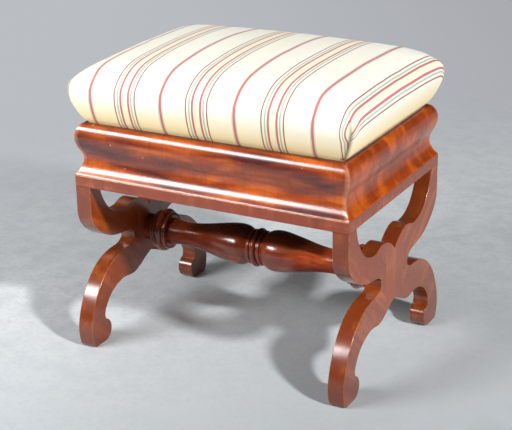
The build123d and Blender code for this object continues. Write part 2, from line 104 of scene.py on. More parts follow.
def straight(start, end, step=0.003):
    """Evenly spaced points on a straight run, at least a step apart."""
    a, b = np.asarray(start, float), np.asarray(end, float)
    count = max(2, int(np.linalg.norm(b - a) / step) + 1)
    return a + (b - a) * np.linspace(0, 1, count)[:, None]


def chain(*runs):
    """Runs joined end to end, without the doubled points."""
    line = np.vstack([run if k == 0 else run[1:] for k, run in enumerate(runs)])
    keep = np.concatenate([[True], np.linalg.norm(np.diff(line, axis=0), axis=1) > 1e-6])
    return line[keep]


def spaced(line, least=0.0005):
    """A line without the points that crowd one of its two ends, which stay."""
    inner = line[1:-1]
    from_start, from_end = [np.linalg.norm(inner - tip, axis=1) for tip in (line[0], line[-1])]
    clear = (from_start > least) & (from_end > least)
    return np.vstack([line[:1], inner[clear], line[-1:]])


def run_length(line):
    """The length along a line up to each of its points."""
    return np.concatenate([[0], np.cumsum(np.linalg.norm(np.diff(line, axis=0), axis=1))])


def ramp(value, start, length):
    """Rises in a straight line from 0 at the start to 1 a length further on, and stays there."""
    return np.clip((value - start) / length, 0, 1)


def quarter_turned(x, y, turns):
    """Places turned by a number of quarter turns about Z: x cos - y sin, and x sin + y cos."""
    c, s = QUARTER_TURNS[turns]
    return np.column_stack([x * c - y * s, x * s + y * c])


def inset_loop(loop, amount):
    """A closed counter-clockwise outline drawn in by an amount for each point, along the mean of the two
    edge normals. The step is the amount over the cosine of half the corner's turn, so that the new edges stay
    parallel, with that cosine kept above the sharpest corner's."""
    before, after = np.roll(loop, 1, 0), np.roll(loop, -1, 0)
    a = loop - before
    b = after - loop
    a = np.column_stack([-a[:, 1], a[:, 0]]) / np.linalg.norm(a, axis=1)[:, None]
    b = np.column_stack([-b[:, 1], b[:, 0]]) / np.linalg.norm(b, axis=1)[:, None]
    mean = a + b
    mean /= np.maximum(np.linalg.norm(mean, axis=1), 1e-9)[:, None]
    reach = np.asarray(amount) / np.clip(np.sum(mean * a, axis=1), SHARPEST_CORNER, 1)
    return loop + mean * reach[:, None]


# Meshes

# A board's arris as steps of a quarter round, and how strongly its rubbing makes it pale, as wear and as a
# painted highlight
ARRIS_STEPS = 5
RUB_AND_HIGHLIGHT_SHARE = 0.30
# Darkening of a board: the height where it starts and how far down it deepens, its strength there, and the
# strength of the darkening on the boards' walls
DARKEN_FROM_HEIGHT, DARKEN_DEPTH, DARKEN_SHARE = 0.115, 0.09, 0.55
WALL_SHARE = 0.50


def make_piece(name, points, faces, finishes, body, replaces=(), finish_of=None, smooth=35):
    """A mesh object at the origin from arrays of points and of faces, which may have any number of sides."""
    mesh = bpy.data.meshes.new(name)
    mesh.from_pydata(np.asarray(points, float).tolist(), [], faces)
    mesh.validate()
    for finish in finishes:
        mesh.materials.append(finish)
    if finish_of is not None:
        mesh.polygons.foreach_set("material_index", np.asarray(finish_of, np.int32))
    mesh.polygons.foreach_set("use_smooth", np.ones(len(mesh.polygons), bool))
    if smooth:
        mesh.set_sharp_from_angle(angle=math.radians(smooth))
    mesh.update()
    piece = bpy.data.objects.new(name, mesh)
    bpy.context.scene.collection.objects.link(piece)
    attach(piece, body)
    if replaces:
        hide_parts(*replaces)
    return piece


def steady_normals(piece, weight=80):
    """Lets the large flat faces keep their own normals beside the eased arrises."""
    weighted = piece.modifiers.new("steady_normals", "WEIGHTED_NORMAL")
    weighted.weight = weight
    weighted.keep_sharp = True


def grid_faces(rows, columns, loop):
    """The four-sided faces of a grid of points, row by row. A loop joins the last column to the first."""
    spans = columns if loop else columns - 1
    i, j = np.meshgrid(np.arange(rows - 1), np.arange(spans), indexing="ij")
    k = (j + 1) % columns
    quads = np.stack([i * columns + j, i * columns + k, (i + 1) * columns + k, (i + 1) * columns + j], -1)
    return quads.reshape(-1, 4).tolist()


def put_values(piece, name, values):
    """A number or a vector for every point of a piece, for its finish to read."""
    values = np.asarray(values, np.float32)
    kind, key = ("FLOAT_VECTOR", "vector") if values.ndim == 2 else ("FLOAT", "value")
    layer = piece.data.attributes.new(name, kind, "POINT")
    layer.data.foreach_set(key, values.ravel())


def slab(name, loop, ease, low, high, grain_turn, finishes, replaces):
    """A board cut to a closed outline in the YZ plane, from x low to x high. Its section from one face to
    the other is a quarter round, the wall and a quarter round: the inset is ease x (1 - sin a) and the depth
    ease x (1 - cos a), with a from 0 to 90 degrees. For its finish, each point gets its place along the
    grain, across it and through the board; its arris, sin 2a, brightened as wear and as a painted highlight;
    how far rubbing makes it pale, a share of that, again wear and painted highlight; and its darkening, the
    larger of a darkening that deepens towards the floor and a share of the wall, sin a squared."""
    turn = np.radians(np.linspace(0, 90, ARRIS_STEPS))
    rings, edge, wall = [], [], []
    for face, way, turns in ((low, 1, turn), (high, -1, turn[::-1])):
        for a in turns:
            flat = inset_loop(loop, ease * (1 - math.sin(a)))
            x = face + way * ease * (1 - math.cos(a))
            rings.append(np.column_stack([x, flat]))
            edge.append(np.full(len(loop), math.sin(2 * a)))
            wall.append(np.full(len(loop), math.sin(a) ** 2))
    points, edge, wall = np.vstack(rings), np.concatenate(edge), np.concatenate(wall)
    count = len(loop)
    faces = grid_faces(len(rings), count, True)
    faces.append(list(range(count))[::-1])
    faces.append([(len(rings) - 1) * count + k for k in range(count)])
    piece = make_piece(name, points, faces, finishes, "frame", replaces)
    c, s = math.cos(grain_turn), math.sin(grain_turn)
    x, y, z = points.T
    put_values(piece, "grain", np.column_stack([y * c + z * s, z * c - y * s, x]))
    # Wear and painted highlight along the arris: it is brightened and made pale
    put_values(piece, "arris", edge)
    put_values(piece, "rubbed_and_highlight", edge * RUB_AND_HIGHLIGHT_SHARE)
    # Darker towards the floor and on the walls
    darkening = DARKEN_SHARE * np.clip((DARKEN_FROM_HEIGHT - z) / DARKEN_DEPTH, 0, 1)
    put_values(piece, "soil_and_shade", np.maximum(darkening, WALL_SHARE * wall))
    steady_normals(piece)
    return piece


# Shader sums

def paint(red, green, blue):
    """A colour given from 0 to 255 as it looks on a screen, for a socket. A part v of it, from 0 to 1,
    becomes v / 12.92 when it is nearly black, and else (v + 0.055) / 1.055 to the power 2.4."""
    parts = [v / 255 for v in (red, green, blue)]
    return (*[v / 12.92 if v <= 0.04045 else ((v + 0.055) / 1.055) ** 2.4 for v in parts], 1.0)


def darker(colour, share):
    """A colour with its red, green and blue times a share."""
    return tuple(v * share for v in colour[:3]) + (1.0,)


def summed(operation, swapped=False):
    """A method that adds one Math node. Swapped, it serves a number on the operator's left."""
    def method(self, other):
        pair = (other, self) if swapped else (self, other)
        return self.sum(operation, *pair)
    return method


class Amount:
    """A socket that takes part in sums: an expression adds its Math nodes."""

    def __init__(self, finish, socket):
        self.finish = finish
        self.socket = socket

    def sum(self, operation, *others):
        """One Math node on its inputs in order."""
        return self.finish.node("ShaderNodeMath", {"operation": operation}, dict(enumerate(others)))

    __add__ = summed("ADD")
    __radd__ = summed("ADD", swapped=True)
    __sub__ = summed("SUBTRACT")
    __rsub__ = summed("SUBTRACT", swapped=True)
    __mul__ = summed("MULTIPLY")
    __rmul__ = summed("MULTIPLY", swapped=True)
    __truediv__ = summed("DIVIDE")
    __rtruediv__ = summed("DIVIDE", swapped=True)
    __mod__ = summed("FLOORED_MODULO")

    def __abs__(self):
        """The amount without its sign."""
        return self.sum("ABSOLUTE", self)

    def sine(self):
        """The sine of the amount, taken as radians."""
        return self.sum("SINE", self)

    def step(self, low, high, first=0.0, last=1.0):
        """Rises smoothly from first to last as the amount goes from low to high."""
        return self.finish.node("ShaderNodeMapRange", {"interpolation_type": "SMOOTHSTEP"},
                                {0: self, 1: low, 2: high, 3: first, 4: last})


class Finish:
    """One material: a Principled shader and the nodes that feed it."""

    def __init__(self, name, **fixed):
        self.material = bpy.data.materials.new(name)
        self.material.use_nodes = True
        self.tree = self.material.node_tree
        self.shader = self.tree.nodes["Principled BSDF"]
        for socket, value in fixed.items():
            self.shader.inputs[socket.replace("_", " ")].default_value = value

    def node(self, kind, settings=None, inputs=None, output=0):
        """Any node: its settings are set first, then the values or links of its sockets."""
        made = self.tree.nodes.new(kind)
        for key, value in (settings or {}).items():
            setattr(made, key, value)
        for key, value in (inputs or {}).items():
            if isinstance(value, Amount):
                self.tree.links.new(value.socket, made.inputs[key])
            else:
                made.inputs[key].default_value = value
        return Amount(self, made.outputs[output])

    def place(self, source="Object"):
        """Object coordinates, or a named attribute of the piece."""
        if source == "Object":
            return self.node("ShaderNodeTexCoord", output="Object")
        return self.node("ShaderNodeAttribute", {"attribute_name": source}, output="Vector")

    def reading(self, source):
        """A number stored on the piece's points."""
        return self.node("ShaderNodeAttribute", {"attribute_name": source}, output="Fac")

    def parts(self, vector):
        """The three numbers of a vector."""
        first = self.node("ShaderNodeSeparateXYZ", None, {0: vector})
        return [Amount(self, first.socket.node.outputs[k]) for k in range(3)]

    def vector(self, x, y, z):
        """A vector of three amounts."""
        return self.node("ShaderNodeCombineXYZ", None, {0: x, 1: y, 2: z})

    def stretched(self, vector, scale, place=(0, 0, 0), turn=(0, 0, 0)):
        """A vector put through a Mapping node."""
        return self.node("ShaderNodeMapping", None,
                         {"Vector": vector, "Location": place, "Rotation": turn, "Scale": scale})

    def noise(self, vector, scale=1.0, detail=3.0, rough=0.55, warp=0.0):
        """A noise texture from 0 to 1, about a half on average."""
        return self.node("ShaderNodeTexNoise", None,
                         {"Vector": vector, "Scale": scale, "Detail": detail, "Roughness": rough,
                          "Distortion": warp})

    def mix(self, factor, first, second, way="MIX"):
        """Two colours mixed by a factor."""
        return self.node("ShaderNodeMix", {"data_type": "RGBA", "blend_type": way, "clamp_factor": True},
                         {0: factor, 6: first, 7: second}, 2)

    def bump(self, height, strength, depth):
        """A normal tilted by a height, with the depth in metres."""
        return self.node("ShaderNodeBump", None, {"Height": height, "Strength": strength, "Distance": depth})

    def give(self, socket, value):
        """Feeds one socket of the shader."""
        self.tree.links.new(value.socket, self.shader.inputs[socket])


# Finishes

# Polish on the mahogany: how much of it there is, and how much of that treading wears off
COAT, WORN_COAT = 0.9, 0.8
# The pale tone of rubbing on arrises, used as wear and as a painted highlight, and the dark tone of dirt and
# painted shade
BARE_AND_HIGHLIGHT_TONE = paint(240, 186, 142)
DIRT_AND_SHADE_TONE = paint(44, 18, 10)


def mahogany(name, deep, middle, bright, ribbon, mottle, gloss, figure, flame_size=(20, 9, 9), ripple=0.0,
             nicks=0.0, trodden=False):
    """French-polished mahogany. Its grain attribute runs along the wood, across it and into it, in metres.
    The shade is the mean of long bands and a flame, weighted by ribbon and mottle; figure sets how much of
    it shows. Along the arris the colour goes to the bright tone, as wear and as a painted highlight; with
    rubbing it goes to pale bare wood, also as wear and as a painted highlight; and a dark tone darkens it, as
    dirt on some pieces and as painted shade on others.
    Where the wood is trodden, the dull attribute takes polish off."""
    f = Finish(name, Coat_Weight=COAT, Coat_Roughness=0.20, Coat_IOR=1.6, Specular_IOR_Level=0.10)
    grain = f.place("grain")
    drift = f.noise(f.stretched(grain, (5, 9, 9)), detail=2.0)
    along, across, into = f.parts(grain)
    bent = f.vector(along, across + (drift - 0.5) * 0.030, into + (drift - 0.5) * 0.016)
    bands = f.noise(f.stretched(bent, (2.4, 46, 46)), detail=4.0, rough=0.6)
    strips = f.noise(f.stretched(bent, (7, 260, 260)), detail=3.0, rough=0.7)
    flame = f.noise(f.stretched(grain, flame_size, (3, 1, 7)), detail=3.0, rough=0.5, warp=0.5)
    pores = f.noise(f.stretched(bent, (70, 1500, 1500)), detail=1.0).step(0.60, 0.72)
    shade = (bands * ribbon + flame * mottle) / (ribbon + mottle)
    spread = 0.10 * (1 - figure)
    body = f.mix(shade.step(0.36 - spread, 0.54 + spread, 1 - figure, 1.0), deep, middle)
    body = f.mix(shade.step(0.50, 0.64), body, bright)
    body = f.mix(strips.step(0.42, 0.70) * figure * (0.45 - ripple), body, deep)
    if ripple:
        fiddle = f.noise(f.stretched(bent, (190, 16, 16)), detail=3.0, rough=0.6)
        body = f.mix(fiddle.step(0.42, 0.70) * ripple, body, deep)
    body = f.mix(pores * 0.30, body, darker(deep, 0.35))
    cloud = f.noise(f.place(), scale=11, detail=2.0)
    body = f.mix(cloud.step(0.45, 0.75) * 0.25, body, deep)
    # Wear and painted highlight: arrises are brightened
    wear_and_highlight = f.reading("arris") * f.noise(f.place(), scale=60, detail=3.0).step(0.35, 0.65)
    body = f.mix(wear_and_highlight * 0.55, body, bright)
    # Wear and painted highlight: rubbing turns arrises to pale bare wood
    rubbed_and_highlight = f.reading("rubbed_and_highlight") * f.noise(f.place(), scale=90, detail=2.0).step(0.30, 0.50)
    if nicks:
        rubbed_and_highlight = rubbed_and_highlight + f.noise(f.place(), scale=150, detail=0.0).step(0.855, 0.885) * nicks
    body = f.mix(rubbed_and_highlight * 0.50, body, BARE_AND_HIGHLIGHT_TONE)
    # Dirt and painted shade: the dark tone darkens the wood
    f.give("Base Color", f.mix(f.reading("soil_and_shade") * 0.65, body, DIRT_AND_SHADE_TONE))
    rub = f.noise(f.place(), scale=26, detail=4.0, rough=0.6)
    f.give("Roughness", rub.step(0.3, 0.75, gloss, gloss + 0.16) + pores * 0.12)
    if trodden:
        f.give("Coat Weight", COAT - f.reading("dull") * WORN_COAT)
    f.give("Normal", f.bump(strips * 0.35 + rub * 0.5 - pores * 0.5, 0.06, 0.0005))
    return f.material


def plain_wood(name, pale, dark, turn, fine=1.0):
    """Bare softwood or birch. Its growth lines run along the object's X axis, turned by an angle about each
    axis, and fine packs them closer."""
    f = Finish(name, Specular_IOR_Level=0.3)
    lie = f.stretched(f.place(), (1, 1, 1), turn=turn)
    lines = f.noise(f.stretched(lie, (3, 90 * fine, 160 * fine)), detail=3.0, rough=0.6, warp=0.2)
    fibre = f.noise(f.stretched(lie, (30, 900, 900)), detail=2.0)
    stain = f.noise(f.place(), scale=14, detail=4.0, rough=0.65)
    body = f.mix(lines.step(0.40, 0.64), pale, dark)
    body = f.mix(stain.step(0.50, 0.78) * 0.5, body, darker(dark, 0.5))
    f.give("Base Color", f.mix(fibre.step(0.45, 0.7) * 0.3, body, dark))
    f.give("Roughness", fibre.step(0.3, 0.7, 0.62, 0.85))
    f.give("Normal", f.bump(fibre + lines * 0.4, 0.25, 0.0005))
    return f.material


def old_iron(name, bright, rust, metal=0.85):
    """Hand-cut screws and tacks: dull metal with rust in its hollows."""
    f = Finish(name)
    spots = f.noise(f.place(), scale=420, detail=4.0, rough=0.7)
    patch = spots.step(0.42, 0.66)
    f.give("Base Color", f.mix(patch, bright, rust))
    f.give("Metallic", (1 - patch) * metal)
    f.give("Roughness", patch * 0.45 + 0.34)
    f.give("Normal", f.bump(spots, 0.3, 0.0003))
    return f.material


def coarse_cloth(name, pale, dark, pitch):
    """Plain-woven jute or hessian. The thread attribute is the place across the cloth and along it in metres.
    Each set of threads is the size of a sine of that place, and where the two sines have the same sign the
    warp lies on top."""
    f = Finish(name, Specular_IOR_Level=0.15, Sheen_Weight=0.15, Sheen_Roughness=0.6)
    thread_place = f.place("thread")
    across, along = f.parts(thread_place)[:2]
    warp_wave = (across * (math.pi / pitch)).sine()
    weft_wave = (along * (math.pi / pitch)).sine()
    slub = f.noise(f.stretched(thread_place, (1 / pitch * 0.08, 1 / pitch, 1)), detail=3.0)
    warp_on_top = (warp_wave * weft_wave).step(-0.2, 0.2)
    thread = abs(warp_wave) * warp_on_top + abs(weft_wave) * (1 - warp_on_top)
    f.give("Base Color", f.mix(thread.step(0.1, 0.8), dark, f.mix(slub.step(0.35, 0.7), pale, dark)))
    f.give("Roughness", thread.step(0, 1, 0.95, 0.8))
    f.give("Normal", f.bump(thread + slub * 0.3, 0.7, pitch * 0.35))
    return f.material


# The ticking's pattern in metres across the cloth: how often it repeats, how far its broad group and its lone
# stripe lie from the middle, and the thread
REPEAT = 0.1274
GROUP_SHIFT, LONE_PLACE = 0.0055, 0.0588
THREAD = 0.00062
SOFT_EDGE = 0.00025
IVORY, OLD_IVORY, SIDE_IVORY = paint(240, 238, 227), paint(243, 237, 213), paint(255, 230, 168)
CREAM, SAGE, ROSE = paint(240, 231, 188), paint(142, 172, 150), paint(190, 88, 96)
RUST_RED, RED = paint(140, 62, 60), paint(186, 74, 90)
# A stripe's distance from its group's middle, half its width, the strength of its dye and its colour
GROUP_STRIPES = ((0, 0.0042, 0.55, CREAM), (0.0123, 0.0014, 0.75, SAGE), (0.0070, 0.0018, 0.92, ROSE),
                 (0.0182, 0.0011, 0.90, RUST_RED))
LONE_STRIPES = ((0.0034, 0.0007, 0.55, SAGE), (0, 0.0022, 0.88, RED))
# Heights between which the cover's sides go from a warm to a cooler ground
WARM_BELOW, COOL_ABOVE = 0.384, 0.446
SLUB_TINT, YARN_TINT, DUST_TINT = paint(205, 192, 150), paint(215, 200, 160), paint(206, 186, 138)
FOLD_SHADE = paint(78, 56, 34)


def ticking(name):
    """The striped cotton cover. Its UV map is the flat cloth in metres, with the stripes along V. A stripe
    is 1 where the distance from its group's middle is within half its width of its own place, with a soft
    edge."""
    f = Finish(name, Specular_IOR_Level=0.20, Sheen_Weight=0.12, Sheen_Roughness=0.5)
    cloth = f.node("ShaderNodeUVMap", {"uv_map": "cloth"})
    u, v = f.parts(cloth)[:2]
    sway = f.noise(f.stretched(cloth, (4, 9, 1)), detail=2.0)
    u = u + (sway - 0.5) * 0.0016

    def from_middle(place):
        """The distance from the nearest repeat of a place."""
        return abs((place + REPEAT / 2) % REPEAT - REPEAT / 2)

    broad = f.noise(f.place(), scale=7, detail=3.0)
    ground = f.mix(broad.step(0.35, 0.7) * 0.45, IVORY, OLD_IVORY)
    height = f.parts(f.place())[2]
    body = f.mix(height.step(WARM_BELOW, COOL_ABOVE, 0.95, 0.0), ground, SIDE_IVORY)
    for distance, stripes in ((from_middle(u + GROUP_SHIFT), GROUP_STRIPES),
                              (from_middle(u - LONE_PLACE), LONE_STRIPES)):
        for middle, half, dye, colour in stripes:
            stripe = abs(distance - middle).step(half - SOFT_EDGE, half + SOFT_EDGE, 1.0, 0.0)
            body = f.mix(stripe * dye, body, colour)
    twill = ((u + v) * (2 * math.pi / THREAD)).sine()
    warp = (u * (2 * math.pi / THREAD)).sine()
    weft = (v * (2 * math.pi / THREAD)).sine()
    slub = f.noise(f.stretched(cloth, (1500, 60, 1)), detail=2.0)
    yarn = f.noise(f.stretched(cloth, (60, 1500, 1)), detail=2.0)
    dust = f.noise(f.place(), scale=30, detail=5.0, rough=0.65)
    body = f.mix(slub.step(0.5, 0.8) * 0.10, body, SLUB_TINT)
    body = f.mix(yarn.step(0.5, 0.8) * 0.08, body, YARN_TINT)
    body = f.mix(dust.step(0.55, 0.8) * 0.10, body, DUST_TINT)
    # Painted shade in the corner pleats' grooves
    f.give("Base Color", f.mix(f.reading("tuck") * 0.80, body, FOLD_SHADE))
    f.give("Roughness", slub.step(0.3, 0.7, 0.84, 0.94))
    weave = twill * 0.4 + warp * 0.25 + weft * 0.25 + slub * 0.8 + yarn * 0.8
    f.give("Normal", f.bump(weave, 0.35, 0.00018))
    return f.material


def horsehair(name):
    """Curled hair and wadding, seen only from inside the cover."""
    f = Finish(name, Specular_IOR_Level=0.3)
    curl = f.noise(f.place(), scale=160, detail=5.0, rough=0.75, warp=3.0)
    f.give("Base Color", f.mix(curl.step(0.4, 0.62), paint(38, 28, 22), paint(120, 98, 74)))
    f.give("Roughness", curl.step(0.3, 0.7, 0.7, 0.95))
    f.give("Normal", f.bump(curl, 0.8, 0.002))
    return f.material


board_wood = mahogany("board_mahogany", paint(88, 28, 11), paint(146, 64, 25), paint(168, 86, 36),
                      ribbon=1.0, mottle=0.4, gloss=0.26, figure=0.34)
block_wood = mahogany("block_mahogany", paint(98, 34, 14), paint(156, 70, 30), paint(178, 92, 44),
                      ribbon=1.0, mottle=0.4, gloss=0.26, figure=0.34)
turned_wood = mahogany("turned_mahogany", paint(56, 16, 8), paint(140, 54, 24), paint(176, 84, 38),
                       ribbon=1.0, mottle=0.4, gloss=0.18, figure=0.7, trodden=True)
rail_veneer = mahogany("straight_veneer", paint(58, 20, 28), paint(152, 62, 14), paint(196, 92, 24),
                       ribbon=0.2, mottle=1.0, gloss=0.20, figure=0.90, flame_size=(8, 38, 38), ripple=0.25,
                       nicks=1.4)
end_veneer = mahogany("flame_veneer", paint(72, 18, 8), paint(158, 64, 12), paint(192, 90, 20),
                      ribbon=0.25, mottle=1.0, gloss=0.24, figure=0.55, flame_size=(22, 14, 14), ripple=0.15)
band_veneer = mahogany("banding_veneer", paint(84, 28, 14), paint(142, 62, 32), paint(168, 84, 48),
                       ribbon=0.8, mottle=0.8, gloss=0.24, figure=0.35, flame_size=(60, 12, 12))
pine_long = plain_wood("pine_lengthwise", paint(206, 164, 104), paint(160, 112, 62), (0, 0, 0))
pine_cross = plain_wood("pine_crosswise", paint(206, 164, 104), paint(156, 108, 60), (0, 0, math.pi / 2))
pine_upright = plain_wood("pine_upright", paint(210, 170, 110), paint(164, 116, 66), (0, math.pi / 2, 0))
birch = plain_wood("birch_dowel", paint(214, 184, 132), paint(182, 146, 96), (0, math.pi / 2, 0), 3.0)
screw_steel = old_iron("screw_steel", paint(150, 146, 140), paint(84, 56, 38))
tack_iron = old_iron("tack_iron", paint(70, 74, 84), paint(58, 44, 36), 0.7)
jute = coarse_cloth("jute_webbing", paint(190, 160, 112), paint(120, 92, 58), 0.0022)
sacking = coarse_cloth("hessian", paint(186, 158, 112), paint(104, 80, 50), 0.0016)
cover_cloth = ticking("striped_ticking")
hair = horsehair("horsehair")

CAD_FINISHES = {"corner_block_front_left": pine_upright, "corner_block_front_right": pine_upright,
                "corner_block_rear_left": pine_upright, "corner_block_rear_right": pine_upright,
                "seat_rail_front": pine_long, "seat_rail_rear": pine_long,
                "seat_rail_left": pine_cross, "seat_rail_right": pine_cross,
                "arm_dowels": birch, "block_dowels": birch, "lap_dowels": birch,
                "rail_screws": screw_steel, "corner_block_screws": screw_steel,
                "cover_tacks": tack_iron, "webbing_tacks": tack_iron}
for node_name, finish in CAD_FINISHES.items():
    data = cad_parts[node_name].data
    data.materials.clear()
    data.materials.append(finish)


# End frames

# Outline points of half an end, as shares: across of the half depth for the hollow and the arm and of the
# foot's reach for the leg and the calf, and up of the leg's rise
HOLLOW = ((0.085, 0.742), (0.205, 0.776), (0.296, 0.780), (0.385, 0.763), (0.480, 0.760),
          (0.580, 0.775), (0.675, 0.808), (0.752, 0.862), (0.812, 0.930))
ARM = ((0.962, 0.768), (0.850, 0.696), (0.722, 0.649), (0.580, 0.622), (0.435, 0.609), (0.345, 0.594))
LEG = ((0.318, 0.511), (0.425, 0.501), (0.545, 0.491), (0.668, 0.461), (0.785, 0.405),
       (0.882, 0.330), (0.954, 0.238), (0.992, 0.160), (1.0, 0.098), (0.985, 0.040))
CALF = ((0.782, 0.168), (0.755, 0.215), (0.685, 0.268), (0.575, 0.308), (0.430, 0.323),
        (0.300, 0.314), (0.205, 0.332), (0.115, 0.361))
NOTCH_TOP, NOTCH_FOOT = (0.298, 0.572), (0.272, 0.531)
HEEL, CURL_TOP = (0.968, 0.0115), (0.770, 0.138)
CROTCH_SHARE, ARCH_SHARE = 0.697, 0.392
SOLE_OUTER_SHARE, SOLE_INNER_SHARE = 0.942, 0.800
# An arris is eased by this much, and by the least where a joint is near; the ease grows by a share of the gap
EASE, JOINT_EASE, EASE_SHARE = 0.0013, 0.00035, 0.35
ARM_GRAIN, BLOCK_GRAIN = math.radians(38), math.radians(90)


def scaled(shares, reach):
    """Pairs of shares as points: across by the reach and up by the leg's rise."""
    return np.asarray(shares, float) * (reach, LEG_RISE)


def end_runs():
    """The runs of half an end's outline: the hollow between the arms, the arm, the notch, the leg with its
    heel, the flat sole, the curl behind it and the calf up to the arch. The curl leaves the sole flat, so its
    centre is straight above the sole's inner end, and its radius is the chord squared over twice its rise."""
    crotch = (0, CROTCH_SHARE * LEG_RISE)
    arch = (0, ARCH_SHARE * LEG_RISE)
    notch_top, = scaled([NOTCH_TOP], HALF_DEPTH)
    notch_foot, = scaled([NOTCH_FOOT], FOOT_REACH)
    leg = scaled(LEG, FOOT_REACH)
    sole_outer, sole_inner = (SOLE_OUTER_SHARE * FOOT_REACH, 0), (SOLE_INNER_SHARE * FOOT_REACH, 0)
    heel, curl_top = scaled([HEEL, CURL_TOP], FOOT_REACH)
    hollow = smooth_line([crotch, *scaled(HOLLOW, HALF_DEPTH), (HALF_DEPTH - ARM_WIDTH, LEG_RISE)], 110)
    arm = smooth_line([(HALF_DEPTH, LEG_RISE - ARM_STRAIGHT), *scaled(ARM, HALF_DEPTH), notch_top], 80,
                      (0, -1), (-1, -1))
    reach = curl_top - sole_inner
    radius = (reach @ reach) / (2 * reach[1])
    turn = np.linspace(0, math.atan2(-reach[0], radius - reach[1]) % (2 * math.pi), 40)
    curl = np.column_stack([sole_inner[0] - radius * np.sin(turn), radius * (1 - np.cos(turn))])
    return {
        "hollow": hollow,
        "arm_top": straight(hollow[-1], (HALF_DEPTH, LEG_RISE)),
        "arm_outer": straight((HALF_DEPTH, LEG_RISE), arm[0]),
        "arm": arm,
        "notch": straight(notch_top, notch_foot, 0.0015),
        "leg": smooth_line([notch_foot, *leg], 120),
        "heel": arc(leg[-1], heel, sole_outer, 8),
        "sole": straight(sole_outer, sole_inner),
        "curl": curl,
        "calf": smooth_line([curl_top, *scaled(CALF, FOOT_REACH), arch], 110),
    }


def cut_at(line, width, beyond):
    """The part of a line whose first coordinate is above a width, or below it, with a point on the cut."""
    keep = line[:, 0] > width if beyond else line[:, 0] < width
    k = int(np.nonzero(keep[1:] != keep[:-1])[0][0])
    share = (width - line[k, 0]) / (line[k + 1, 0] - line[k, 0])
    edge = line[k] + share * (line[k + 1] - line[k])
    return spaced(np.vstack([[edge], line[keep]]) if keep[-1] else np.vstack([line[keep], [edge]]))


def end_frames():
    """The four boards and two centre blocks. A board's outline runs from the joint at the block out along the
    hollow, round the arm and leg and back along the calf; a block's closes the middle."""
    runs = end_runs()
    hollow, calf = cut_at(runs["hollow"], BLOCK_HALF, True), cut_at(runs["calf"], BLOCK_HALF, True)
    names = ("arm_top", "arm_outer", "arm", "notch", "leg", "heel", "sole", "curl")
    loop = chain(hollow, *[runs[name] for name in names], calf, straight(calf[-1], hollow[0]))[:-1][::-1]
    top, bottom = cut_at(runs["hollow"], BLOCK_HALF, False), cut_at(runs["calf"], BLOCK_HALF, False)
    low_run = chain(bottom * (-1, 1), bottom[::-1])
    top_run = chain(top[::-1], top * (-1, 1))
    block = chain(low_run, straight(low_run[-1], top_run[0]), top_run, straight(top_run[-1], low_run[0]))[:-1]

    def ease_of(outline):
        """The ease of each arris point: it dies away where a joint or the fascia meets the arris."""
        gap = np.minimum(np.abs(np.abs(outline[:, 0]) - BLOCK_HALF), LEG_RISE - outline[:, 1])
        return np.clip(JOINT_EASE + EASE_SHARE * gap, JOINT_EASE, EASE)

    inner, outer = HALF_LENGTH - BOARD, HALF_LENGTH
    for side, low, high in (("left", -outer, -inner), ("right", inner, outer)):
        for face, way in (("front", -1), ("rear", 1)):
            shape = loop * (way, 1)
            shape = shape if way > 0 else shape[::-1]
            slab(f"{side}_{face}_arm_and_leg", shape, ease_of(shape), low, high,
                 way * ARM_GRAIN, [board_wood], [f"{side}_{face}_board"])
        slab(f"{side}_middle_block", block, ease_of(block), low, high, BLOCK_GRAIN,
             [block_wood], [f"{side}_centre_block"])


# The stretcher

# A quarter bead's crest lies this share of the way along it and up it
CREST_SHARE = 0.72
# The stretcher's radii in metres, from the middle rings outwards
MIDDLE_TOP, SIDE_TOP, DISC_TOP = 0.0324, 0.0294, 0.0312
DRUM_FOOT, DRUM_TOP, DRUM_GROOVE = 0.0300, 0.0364, 0.0292
RING_TOP, RING_GROOVE, LAST_RING_TOP, LAST_GROOVE = 0.0326, 0.0286, 0.0316, 0.0280
BEAD_FOOT, BEAD_TOP, COLLAR_RADIUS = 0.0254, 0.0272, 0.0232
TENON_RADIUS, TENON_LENGTH = 0.012, 0.02
# Each swelling is fullest and thinnest at these shares of its run, back from the disc
BELLY_SHARE, NECK_SHARE = 0.74, 0.12
# Painted shade on the swellings' tops and a dull neck, as shares of the same run: where the painted shade
# ends and how fast, where the dull neck starts and how fast, then the sine of the angle from the side at
# which the painted shade starts and its ramp
PAINTED_SHADE_END_SHARE, PAINTED_SHADE_FADE_SHARE = 0.20, 0.14
DULL_START_SHARE, DULL_FADE_SHARE = 0.66, 0.10
PAINTED_SHADE_START, PAINTED_SHADE_RAMP, PAINTED_SHADE_STRENGTH = 0.58, 0.14, 1.25
SLOPE_WEAR = 0.2


def mm(*values):
    """Sizes given in millimetres, in metres."""
    return [value * MM for value in values]


def swelling(start, end, radius_start, radius_top, radius_end, count=14):
    """A turned ring or bead as one arc through its crest, which is halfway along at the full radius. Where it
    starts at its full radius it is a quarter bead, with its crest nearer the end and lower."""
    if radius_start == radius_top:
        crest = (start + (end - start) * CREST_SHARE, radius_end + (radius_top - radius_end) * CREST_SHARE)
    else:
        crest = ((start + end) / 2, radius_top)
    return arc((start, radius_start), crest, (end, radius_end), count)


